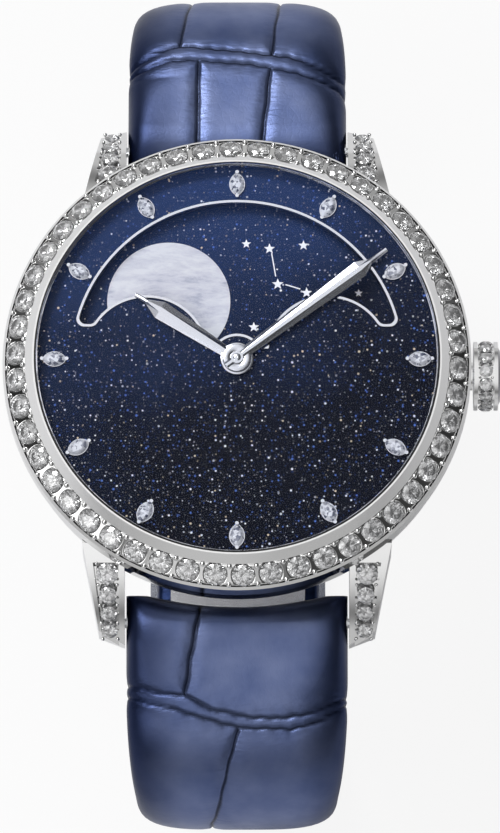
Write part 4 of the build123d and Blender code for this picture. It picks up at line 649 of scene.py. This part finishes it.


# The marquises' colour is painted sparkle: each small cell is grey to white at random, standing in for the
# glints of facets.
marker_diamond, tree = new_material("small_diamond_painted_sparkle")
where = add(tree, "TexCoord")
grid = {"Vector": where.outputs["Object"], "Scale": 1 / (marquise_facet * MM)}
facets = add(tree, "TexVoronoi", grid)
tilt = add(tree, "SeparateColor", {0: facets.outputs["Color"]})
painted_sparkle = add(tree, "ValToRGB", {0: tilt})
for element, (place, code) in zip(painted_sparkle.color_ramp.elements, painted_sparkle_tones):
    element.position = place
    element.color = linear(code)
bump = add(tree, "Bump", {"Strength": 0.5, "Distance": 0.05 * MM, "Height": tilt.outputs[1]})
shader = add(
    tree,
    "BsdfPrincipled",
    {"Base Color": painted_sparkle, "Roughness": 0.12, "IOR": 2.4, "Normal": bump},
)
add(tree, "OutputMaterial", {"Surface": shader})
angles = even_turns(marker_count)
places = on_circle(angles, marker_circle, marker_height)
points, faces = placed(marquise_cut(), stone_faces, places, upright, forward, 1.0, angles)
marquises = new_object("marker_marquises", points, faces, marker_diamond, smooth=False)
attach(marquises, "case")
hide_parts("marker_diamonds")

# Hands: white gold, each with a flat ridge between two sloping sides and a flat round boss.
# They are cut, bevelled and polished. The hour hand lies under the minute hand, and a domed pin closes both.
hour_angle = radians(146.6)
minute_angle = radians(36.95)
hand_thickness = 0.12
hand_foot = 0.02
hand_ridge = 0.17
ridge_share = 0.26
pin_radius = 0.34
pin_low = 9.22
pin_rise = 0.1
pin_foot = 0.1
pin_bore = 0.004
hour_low = 8.8
hour_boss = (1.35, 0.85)
hour_stations = [(0.9, 0.46), (7.45, 0.785), (8.7, 0.22), (9.87, 0.16)]
minute_low = 9.06
minute_boss = (1.16, 0.5)
minute_stations = [(-1.1, 0.43), (0.0, 0.43), (12.45, 0.725), (13.5, 0.24), (15.2, 0.17)]
hand_gold = metal("polished_hand_gold", "#e4e4e4", 0.16, 0.4, 0.0)


def turned_ring(profile, count):
    """A closed ring: each profile point (radius, height) goes round Z by radius times cosine and sine."""
    profile = np.asarray(profile, float)
    angles = even_turns(count)[:, None]
    columns = len(profile)
    x, y = profile[None, :, 0] * np.cos(angles), profile[None, :, 0] * np.sin(angles)
    z = np.broadcast_to(profile[None, :, 1], x.shape)
    i, j = np.meshgrid(np.arange(count), np.arange(columns), indexing="ij")
    next_i, next_j = (i + 1) % count * columns, (j + 1) % columns
    faces = np.stack([i * columns + j, next_i + j, next_i + next_j, i * columns + next_j], axis=-1)
    return np.stack([x, y, z], axis=-1).reshape(-1, 3), faces.reshape(-1, 4).tolist()


def joined(*shapes):
    """One list of points and faces from several."""
    points, faces, start = [], [], 0
    for some_points, some_faces in shapes:
        points.append(some_points)
        faces += [[v + start for v in face] for face in some_faces]
        start += len(some_points)
    return np.vstack(points), faces


def hand_blade(angle, low, stations):
    """A faceted bar along an angle. Each station is (distance, half width): its section is a foot, two
    sloping sides and a flat ridge, and straight faces join the stations."""
    along = np.array([cos(angle), sin(angle), 0.0])
    left = np.array([-sin(angle), cos(angle), 0.0])
    distance, half = np.array(stations).T
    side = [(-1, 0), (-1, hand_foot), (-ridge_share, hand_ridge)]
    rows = []
    for share, rise in side + [(-share, rise) for share, rise in side[::-1]]:
        rows.append(distance[:, None] * along + (share * half)[:, None] * left + [0, 0, low + rise])
    points = np.stack(rows, axis=1)
    count, sides = points.shape[:2]
    faces = []
    for i in range(count - 1):
        for j in range(sides):
            k = (j + 1) % sides
            faces.append([i * sides + j, i * sides + k, (i + 1) * sides + k, (i + 1) * sides + j])
    faces.append(list(range(sides))[::-1])
    faces.append([(count - 1) * sides + j for j in range(sides)])
    points = points.reshape(-1, 3)
    tip = slice((count - 1) * sides, count * sides)
    points[tip, 2] = np.minimum(points[tip, 2], low + hand_foot * 2)
    return points, faces


def hand_boss(low, outer, bore):
    """A flat boss with a rounded rim."""
    high = low + hand_thickness * 0.8
    rim = [(outer, low), (outer, high - 0.05), (outer - 0.02, high - 0.015), (outer - 0.05, high)]
    profile = [*rim, (bore + 0.04, high), (bore, high - 0.03), (bore, low)]
    return turned_ring(profile, 96)


def make_hand(name, body, angle, low, outer, bore, stations):
    """A hand's blade and boss as one piece on its CAD body."""
    blade = hand_blade(angle, low, stations)
    blade[0][:, 2] -= 0.001
    points, faces = joined(blade, hand_boss(low, outer, bore))
    made = new_object(name, points, faces, hand_gold, smooth=False)
    made.data.polygons.foreach_set("use_smooth", np.arange(len(faces)) >= len(blade[1]))
    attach(made, body)
    return made


hour = make_hand("hour_hand_bevelled", "hour_set", hour_angle, hour_low, *hour_boss, hour_stations)
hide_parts("hour_hand")
minute = make_hand(
    "minute_hand_bevelled", "centre_set", minute_angle, minute_low, *minute_boss, minute_stations
)
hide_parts("minute_hand")
dome_turns = np.linspace(0, pi / 2, 9)[:-1]
dome = [(pin_radius * cos(a), pin_low + pin_rise * sin(a)) for a in dome_turns]
pin_top = [*dome, (pin_bore, pin_low + pin_rise)]
pin_base = pin_low - pin_foot
points, faces = turned_ring([(pin_radius, pin_base), *pin_top, (pin_bore, pin_base)], 48)
pin = new_object("hand_pin_dome", points, faces, hand_gold)
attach(pin, "centre_set")
dress(hand_gold, "cannon_pinion", "hour_wheel")

# Crystal: a flat sapphire with a hint of a dome and a reflection-damping coat, pressed into a black gasket.
# Light goes straight through it, and it mirrors only a little of the room.
sapphire, tree = new_material("coated_sapphire")
where = add(tree, "TexCoord")
film = add(tree, "TexNoise", {"Vector": where.outputs["Object"], "Scale": 1 / (9 * MM)})
tints = {0: film, "A": linear("#fdfdff"), "B": linear("#f9fbff")}
tint = add(tree, "Mix", tints, data_type="RGBA")
mirror_share = add(tree, "Fresnel", {"IOR": 1.14})
clear = add(tree, "BsdfTransparent", {"Color": tint.outputs["Result"]})
shine = add(tree, "BsdfGlossy", {"Color": linear("#eef2ff"), "Roughness": 0.02})
layers = {0: mirror_share, 1: clear, 2: shine}
both = add(tree, "MixShader", layers)
add(tree, "OutputMaterial", {"Surface": both})
dress(sapphire, "crystal", "back_glass")
gasket = metal("black_rubber", "#101012", 0.6, 0.2, 0.2)
gasket.node_tree.nodes["Principled BSDF"].inputs["Metallic"].default_value = 0.0
dress(gasket, "crystal_gasket")

# Movement: hand-wound, behind the back glass. Its plate and bridges are brass under white rhodium.
# The bridges are striped, the plate is spotted with small rings, and the wheels are gilt with circular lines.
stripe_width = 1.6
stripe_brush = 0.04
perlage_cell = 0.9
perlage_rings = 40.0

# White metal with broad parallel stripes: brushed ridges whose height is a sawtooth across the stripes, and a
# painted sheen that follows it.
striped, tree = new_material("striped_rhodium")
where = add(tree, "TexCoord")
turned = {"Vector": where.outputs["Object"], "Rotation": (0.0, 0.0, radians(35))}
across = add(tree, "Mapping", turned)
bands = add(
    tree,
    "TexWave",
    {"Vector": across, "Scale": 1 / (stripe_width * MM) * pi / 10, "Distortion": 0.0},
    bands_direction="X",
    wave_profile="SAW",
)
fine = add(tree, "Mapping", {"Vector": across, "Scale": (0.1, 1.0, 1.0)})
size = {"Vector": fine, "Scale": 1 / (stripe_brush * MM), "Detail": 2.0}
lines = add(tree, "TexNoise", size)
# Painted sheen: each stripe runs from grey to pale across its width, as the light on its curved face would.
stripe_painted_sheen = {0: bands.outputs["Fac"], "A": linear("#c9cacc"), "B": linear("#efefee")}
tone = add(tree, "Mix", stripe_painted_sheen, data_type="RGBA")
height = add(tree, "Math", {0: lines, 1: bands.outputs["Fac"]}, operation="ADD")
bump = add(tree, "Bump", {"Strength": 0.3, "Distance": 0.02 * MM, "Height": height})
shader = add(
    tree,
    "BsdfPrincipled",
    {"Base Color": tone.outputs["Result"], "Metallic": 1.0, "Roughness": 0.26, "Normal": bump},
)
add(tree, "OutputMaterial", {"Surface": shader})
dress(striped, "barrel_bridge", "train_bridge", "balance_cock")
spotted, tree = new_material("spotted_rhodium")
where = add(tree, "TexCoord")
grid = {"Vector": where.outputs["Object"], "Scale": 1 / (perlage_cell * MM), "Randomness": 0.15}
cells = add(tree, "TexVoronoi", grid)
rings = add(tree, "Math", {0: cells.outputs["Distance"], 1: perlage_rings}, operation="MULTIPLY")
rings = add(tree, "Math", {0: rings}, operation="SINE")
bump = add(tree, "Bump", {"Strength": 0.25, "Distance": 0.02 * MM, "Height": rings})
shader = add(
    tree,
    "BsdfPrincipled",
    {"Base Color": linear("#d9dadb"), "Metallic": 1.0, "Roughness": 0.3, "Normal": bump},
)
add(tree, "OutputMaterial", {"Surface": shader})
dress(spotted, "main_plate")
gilt_wheels = ("centre_wheel", "third_wheel", "fourth_wheel", "minute_wheel", "day_wheel", "moon_wheel")
dress(metal("gilt_brass", "#e3c06a", 0.24, 0.06, 0.12), "barrel", *gilt_wheels, "balance_wheel")
steel_wheels = ("crown_wheel", "ratchet_wheel", "winding_pinion", "escape_wheel", "pallet_fork")
steel_fittings = ("casing_ring", "stem", "barrel_arbor", "spring_bar_upper", "spring_bar_lower")
dress(metal("brushed_steel", "#cfd1d4", 0.26, 0.05, 0.12), *steel_wheels, *steel_fittings, "case_back_screws")
dress(metal("blued_steel", "#2a3f8c", 0.22, 0.05, 0.08), "hairspring", "mainspring", "movement_screws")
ruby, tree = new_material("ruby")
where = add(tree, "TexCoord")
silk = add(tree, "TexNoise", {"Vector": where.outputs["Object"], "Scale": 1 / (0.4 * MM)})
reds = {0: silk, "A": linear("#8c0f2c"), "B": linear("#d42a55")}
tone = add(tree, "Mix", reds, data_type="RGBA")
shader = add(
    tree,
    "BsdfPrincipled",
    {"Base Color": tone.outputs["Result"], "Roughness": 0.06, "IOR": 1.77, "Coat Weight": 0.6},
)
add(tree, "OutputMaterial", {"Surface": shader})
dress(ruby, "jewels")

# Back: a white gold ring with six screws round a glass window that shows the movement.
# It is turned and then polished, so that fine lines stay in it.
dress(metal("turned_white_gold", "#e2e1e0", 0.16, 0.08, 0.1), "case_back")

# Strap: two halves of navy alligator skin over a soft lining. The skin is turned over the edges and glued.
# Its large scales are soft pillows between sharp creases, and each end is folded round its spring bar.
strap_bar = (20.0, 0.6)
strap_knots = {
    "upper": (0.0, 6.954, 16.852, 49.839, 63.424, 64.768),
    "lower": (0.0, 6.481, 19.332, 47.258, 65.854, 83.885),
}
strap_turns = {
    "upper": (-9.109, -9.109, -80.0, -122.0, -180.0, -180.0),
    "lower": (-9.956, -9.956, -102.0, -110.0, -180.0, -180.0),
}
strap_half_thicknesses = (2.2, 2.05, 1.85, 1.35, 1.1, 1.1)
strap_head_reach = 2.2
strap_head_hollow = 0.4
strap_head_horns = 0.63
# Painted shade on the fold round the spring bar, where the case shades the strap's head.
head_painted_shade_strength = 0.9
head_painted_shade_reach = 1.5
# Painted shade along both edges of the strap, stronger on the left, where the skin turns from the light.
edge_shade_middle = 0.6
edge_shade_inner = 3.8
edge_shade_outer = 9.4
edge_painted_shade = 0.92
edge_shade_colour = "#101d3f"
strap_roll = 1.6
strap_plan = ((-50.0, 7.0), (-10.0, 7.95), (-6.0, 8.3), (-0.5, 8.98), (4.0, 8.98))
strap_edge_powers = ((1.5, 6.0), (14.0, 4.2))
lining_edge_power = 22
strap_end_round = 0.5
crease_depth = 0.17
crease_width = 0.12
pillow_depth = 0.1
pillow_width = 0.6
crease_sway = 0.025
fold_width = 1.1
fold_line = 0.55
fold_weight = 7.0
leather_cloud = 3.5
leather_pore = 0.1
pore_weight = 0.35
wrinkle_weight = 0.3
leather_wave = 1.3
wave_weight = 2.0
glaze_least = 0.3
glaze_most = 0.44
hem_height = 0.55
hem_width = 0.09
hem_depth = 0.07
fine_row = 0.11
fine_until = 18
coarse_row = 0.38
head_rows, tail_rows, edge_columns, top_columns, low_columns = 16, 7, 10, 124, 26
hidden_band = 8.5
hidden_across = np.array([-9.0, -5.5, -2.0, 2.0, 5.5, 9.0])
hidden_start = {"upper": 17.2, "lower": 28.0}
hidden_seed = 9
seen_creases = {
    "upper": (
        ((7.1, -9.05), (8.5, -5.64), (8.65, -4.07), (8.1, 0.94), (7.75, 4.34), (7.1, 6.31), (6.0, 8.6)),
        ((6.5, -9.0), (7.5, -5.64), (7.5, -3.27), (7.2, 0.94), (6.8, 3.02), (6.45, 4.99), (5.85, 6.71),
         (4.75, 9.0)),
        ((17.2, -3.6), (13.65, -3.97), (8.6, -4.74)),
        ((17.1, 3.7), (13.4, 3.44), (8.0, 2.89)),
        ((7.45, -3.2), (0.35, -3.25), (-2.2, -3.2)),
        ((6.8, 2.76), (0.35, 2.1), (-2.2, 2.0)),
    ),
    "lower": (
        ((5.1, -9.0), (5.8, -6.31), (5.95, -4.2), (7.0, -2.02), (7.5, 0.97), (7.6, 3.64), (7.2, 6.22),
         (6.1, 9.0)),
        ((6.1, -9.0), (7.0, -5.01), (7.95, -1.13), (8.25, 1.05), (8.3, 4.28), (7.85, 6.59), (6.7, 9.0)),
        ((-2.2, -2.75), (1.5, -3.5), (5.9, -4.2)),
        ((8.3, 0.1), (11.5, -0.89), (17.4, -2.0), (28.0, -2.1)),
    ),
}


def strap_line(half, steps):
    """Middle line of a strap half at some arc lengths: rows of (reach, height, heading, half thickness).
    The heading changes evenly between the knots, and the line sums its cosine and sine along the way."""
    knots, turns = strap_knots[half], strap_turns[half]
    fine = np.linspace(-strap_head_reach, knots[-1], 20001)
    heading = np.radians(np.interp(fine, knots, turns))
    step = fine[1] - fine[0]
    between = (heading[:-1] + heading[1:]) / 2
    reach = np.concatenate([[0], np.cumsum(np.cos(between)) * step])
    height = np.concatenate([[0], np.cumsum(np.sin(between)) * step])
    reach += strap_bar[0] - np.interp(0, fine, reach)
    height += strap_bar[1] - np.interp(0, fine, height)
    line = [np.interp(steps, fine, values) for values in (reach, height, heading)]
    return *line, np.interp(steps, knots, strap_half_thicknesses)


def crease_distance(s, x, lines):
    """How far each point of the skin is from its nearest crease: the distance to a straight piece is that to
    its start plus the clipped share of the piece."""
    nearest = np.full(np.shape(s), 99.0)
    for line in lines:
        for (s0, x0), (s1, x1) in zip(line[:-1], line[1:]):
            ds, dx = s1 - s0, x1 - x0
            share = np.clip(((s - s0) * ds + (x - x0) * dx) / (ds * ds + dx * dx), 0, 1)
            nearest = np.minimum(nearest, np.hypot(s - s0 - share * ds, x - x0 - share * dx))
    return nearest


def hidden_creases(first, last, chance):
    """Creases of the skin that the photo doesn't show: wavy bands across, joined by lines along the strap."""
    lines = []
    band = first
    while band < last:
        wave = band + chance.uniform(-0.6, 0.6, len(hidden_across))
        second = wave + chance.uniform(0.75, 1.1, len(hidden_across))
        lines += [tuple(zip(row.tolist(), hidden_across.tolist())) for row in (wave, second)]
        for x in (-3.4, 3.0):
            spots = x + chance.uniform(-0.9, 0.9, 3)
            lines.append(tuple(zip((band + 0.8, band + hidden_band / 2, band + hidden_band), spots.tolist())))
        band += hidden_band * chance.uniform(0.9, 1.1)
    return lines


def leather_material(name, crease_and_shade_colour, plain, light, wrinkle_mm):
    """Glazed leather: creases darker, partly the skin's own colour and partly painted shade; painted shade on
    the head's fold and along both edges; pillows lighter and cloudy, with pores and wrinkles. The surface's
    height is pores plus wrinkles plus slow waves plus stretched lines near creases."""
    made, tree = new_material(name)
    where = add(tree, "TexCoord")
    spot = where.outputs["Object"]
    crease_and_painted_shade = add(tree, "Attribute", attribute_name="crease_and_painted_shade")
    cloud = add(tree, "TexNoise", {"Vector": spot, "Scale": 1 / (leather_cloud * MM), "Detail": 4.0})
    tones = {0: cloud, "A": linear(plain), "B": linear(light)}
    tone = add(tree, "Mix", tones, data_type="RGBA")
    tones = {0: crease_and_painted_shade.outputs["Fac"], "A": tone.outputs["Result"], "B": linear(crease_and_shade_colour)}
    tone = add(tree, "Mix", tones, data_type="RGBA")
    axes = add(tree, "SeparateXYZ", {0: spot})
    # Painted shade: the colour darkens towards the edges, centred off the middle so that the left edge is
    # darker.
    aside = add(tree, "Math", {0: axes.outputs["X"], 1: edge_shade_middle * MM}, operation="SUBTRACT")
    aside = add(tree, "Math", {0: aside}, operation="ABSOLUTE")
    ends = {0: aside, 1: edge_shade_inner * MM, 2: edge_shade_outer * MM, 3: 0.0, 4: edge_painted_shade}
    edge = add(tree, "MapRange", ends, interpolation_type="SMOOTHSTEP")
    tones = {0: edge, "A": tone.outputs["Result"], "B": linear(edge_shade_colour)}
    tone = add(tree, "Mix", tones, data_type="RGBA")
    grid = {"Vector": spot, "Scale": 1 / (wrinkle_mm * MM)}
    wrinkles = add(tree, "TexVoronoi", grid, feature="DISTANCE_TO_EDGE")
    folds = add(tree, "MapRange", {0: wrinkles, 1: 0.0, 2: 0.12})
    pores = add(tree, "TexNoise", {"Vector": spot, "Scale": 1 / (leather_pore * MM), "Detail": 3.0})
    waves = add(tree, "TexNoise", {"Vector": spot, "Scale": 1 / (leather_wave * MM), "Detail": 3.0})
    fine = add(tree, "Math", {0: pores, 1: pore_weight}, operation="MULTIPLY")
    folds = add(tree, "Math", {0: folds, 1: wrinkle_weight}, operation="MULTIPLY")
    fine = add(tree, "Math", {0: fine, 1: folds}, operation="ADD")
    slow = add(tree, "Math", {0: waves, 1: wave_weight}, operation="MULTIPLY")
    stretch = {"Vector": spot, "Rotation": (0, 0, 0.35), "Scale": (0.45, 1.6, 1.6)}
    long = add(tree, "Mapping", stretch)
    size = {"Vector": long, "Scale": 1 / (fold_line * MM), "Detail": 2.0}
    lines = add(tree, "TexNoise", size)
    near = add(tree, "Attribute", attribute_name="folds")
    lines = add(tree, "Math", {0: lines, 1: near.outputs["Fac"]}, operation="MULTIPLY")
    lines = add(tree, "Math", {0: lines, 1: fold_weight}, operation="MULTIPLY")
    slow = add(tree, "Math", {0: slow, 1: lines}, operation="ADD")
    height = add(tree, "Math", {0: fine, 1: slow}, operation="ADD")
    bump = add(tree, "Bump", {"Strength": 0.3, "Distance": 0.02 * MM, "Height": height})
    rough = add(tree, "MapRange", {0: waves, 3: glaze_least, 4: glaze_most})
    shader = add(
        tree,
        "BsdfPrincipled",
        {
            "Base Color": tone.outputs["Result"],
            "Roughness": rough,
            "Metallic": 0.85,
            "Specular IOR Level": 0.5,
            "Normal": bump,
        },
    )
    add(tree, "OutputMaterial", {"Surface": shader})
    return made


# The first colour is that of the creases and the painted shade.
alligator = leather_material("navy_alligator", "#060c1a", "#3b4e80", "#808cb2", 0.55)
lining = leather_material("navy_lining", "#101a30", "#18284a", "#1f3158", 0.3)


def make_strap(half):
    """One strap half as a closed skin. Rows run along the middle line and columns round the section, a box
    whose ends are rounded by across to the power of the edge plus up squared equals one."""
    sign = 1 if half == "upper" else -1
    last = strap_knots[half][-1]
    chance = np.random.default_rng(hidden_seed + sign)
    head = -strap_head_reach * np.cos(np.linspace(0, pi / 2, head_rows))[:-1]
    tail = last - strap_end_round * (1 - np.sin(np.linspace(0, pi / 2, tail_rows)))
    seen = np.arange(0, fine_until, fine_row)
    hidden = np.arange(fine_until, last - strap_end_round, coarse_row)
    steps = np.concatenate([head, seen, hidden, tail])
    reach, height, heading, thick = strap_line(half, steps)
    width = np.interp(height, *np.array(strap_plan).T)
    power = np.interp(steps, *strap_edge_powers)[:, None]
    edge_up = np.sin(np.linspace(0, pi / 2, edge_columns))[None, :-1] * 0.95
    edge_x = (1 - edge_up**2) ** (1 / power)
    low_x = (1 - edge_up**2) ** (1 / lining_edge_power) + 0 * power
    middle = edge_x[:, -1:] * np.linspace(1, -1, top_columns)[None, 1:-1]
    below = low_x[:, -1:] * np.linspace(-1, 1, low_columns)[None, 1:-1]
    x = np.hstack([edge_x, middle, -edge_x[:, ::-1], -low_x[:, 1:], below, low_x[:, :0:-1]])
    edge_up = edge_up + 0 * power
    crown = (1 - np.abs(middle) ** power) ** 0.5
    low = -((1 - np.abs(below) ** lining_edge_power) ** 0.5)
    v = np.hstack([edge_up, crown, edge_up[:, ::-1], -edge_up[:, 1:], low, -edge_up[:, :0:-1]])
    top_count = 2 * edge_x.shape[1] + middle.shape[1]
    into_head = (strap_roll - np.minimum(steps, strap_roll)) / (strap_roll + strap_head_reach)
    round_head = np.sqrt(np.clip(1 - into_head**2, 0, 1))
    into_end = np.clip(1 - (last - steps) / strap_end_round, 0, 1)
    closing = round_head * np.where(steps > 1, 0.45 + 0.55 * np.sqrt(1 - into_end**2), 1)
    across = x * width[:, None] * (1 - 0.02 * into_end[:, None])
    hollow = np.where(steps < 0, 1.0, 0)[:, None] * (strap_head_hollow - strap_head_horns * x**2)
    along_s = steps[:, None] - np.minimum(steps, 0)[:, None] * hollow
    base_reach = np.interp(along_s, steps, reach)
    base_height = np.interp(along_s, steps, height)
    lines = list(seen_creases[half]) + hidden_creases(hidden_start[half], last - 3, chance)
    sway = np.sin(2.1 * along_s + 1.3 * across) + np.sin(4.7 * across - 1.9 * along_s)
    gap = crease_distance(along_s + crease_sway * sway, across + crease_sway * sway, lines)
    sharp = np.exp(-((gap / crease_width) ** 2))
    soft = np.exp(-((gap / pillow_width) ** 2))
    outer_side = np.clip(v * 1.6 + 0.9, 0, 1)
    sunk = (crease_depth * sharp + pillow_depth * soft) * outer_side
    hem = hem_depth * np.exp(-(((v + hem_height) / hem_width) ** 2)) * (np.abs(x) > 0.9)
    up = v * thick[:, None] * closing[:, None]
    up = up - np.where(v > 0.3, sunk, 0) * closing[:, None]
    across = across - np.sign(x) * (np.where(v <= 0.3, sunk, sunk * np.abs(x) ** 30) + hem)
    turn = heading[:, None]
    y = sign * (base_reach - np.sin(turn) * up)
    points = np.stack([across, y, base_height + np.cos(turn) * up], axis=-1)
    rows, columns = up.shape
    i, j = np.meshgrid(np.arange(rows - 1), np.arange(columns), indexing="ij")
    k = (j + 1) % columns
    first, second = i * columns, (i + 1) * columns
    faces = np.stack([first + j, first + k, second + k, second + j], axis=-1)
    if sign > 0:
        faces = faces[..., ::-1]
    faces = faces.reshape(-1, 4).tolist()
    under = (v[i, j] < -hem_height).ravel()
    # The head is stitched: each step along the upper side meets its share of the steps along the lower one.
    low_count = columns - top_count + 2
    ends, n = [], 0
    for m in range(1, top_count):
        until = m * (low_count - 1) // (top_count - 1)
        other = [(columns - k) % columns for k in range(until, n - 1, -1)]
        ends.append(list(dict.fromkeys([m - 1, m, *other])))
        n = until
    ends = [end for end in ends if len(end) > 2]
    ends.append([(rows - 1) * columns + n for n in range(columns)][::-1])
    if sign < 0:
        ends = [end[::-1] for end in ends]
    made = new_object(f"strap_{half}_leather", points.reshape(-1, 3), faces + ends, alligator)
    made.data.materials.append(lining)
    inside = np.concatenate([under, np.zeros(len(ends))]).astype(np.int32)
    made.data.polygons.foreach_set("material_index", inside)
    # The crease value darkens the colour: along creases, partly the skin's own colour and partly painted
    # shade, and on the head's fold, painted shade.
    shade = made.data.attributes.new("crease_and_painted_shade", "FLOAT", "POINT")
    head_painted_shade = head_painted_shade_strength * np.exp(-(((along_s + strap_head_reach) / head_painted_shade_reach) ** 2))
    values = np.clip(0.8 * sharp + 0.1 * soft + head_painted_shade, 0, 1)
    shade.data.foreach_set("value", values.ravel().astype(np.float32))
    folds = made.data.attributes.new("folds", "FLOAT", "POINT")
    values = np.exp(-((gap / fold_width) ** 2))
    folds.data.foreach_set("value", values.ravel().astype(np.float32))
    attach(made, f"strap_{half}_body")
    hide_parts(f"strap_{half}")


make_strap("upper")
make_strap("lower")

# Clasp: a folding clasp of white gold under the wrist. Two thin blades fold flat, and a cover hides them.
# The outer face is polished, and the blades' inner faces are brushed along the strap.
clasp_gold = metal("brushed_clasp_gold", "#e0dfde", 0.22, 0.06, 0.15, (1.0, 0.06, 1.0))
dress(white_gold, "clasp_cover", "clasp_cover_pin", "clasp_hinge_pin")
dress(clasp_gold, "clasp_base_blade", "clasp_fold_blade")

# Last, the view layer is brought up to date.
bpy.context.view_layer.update()
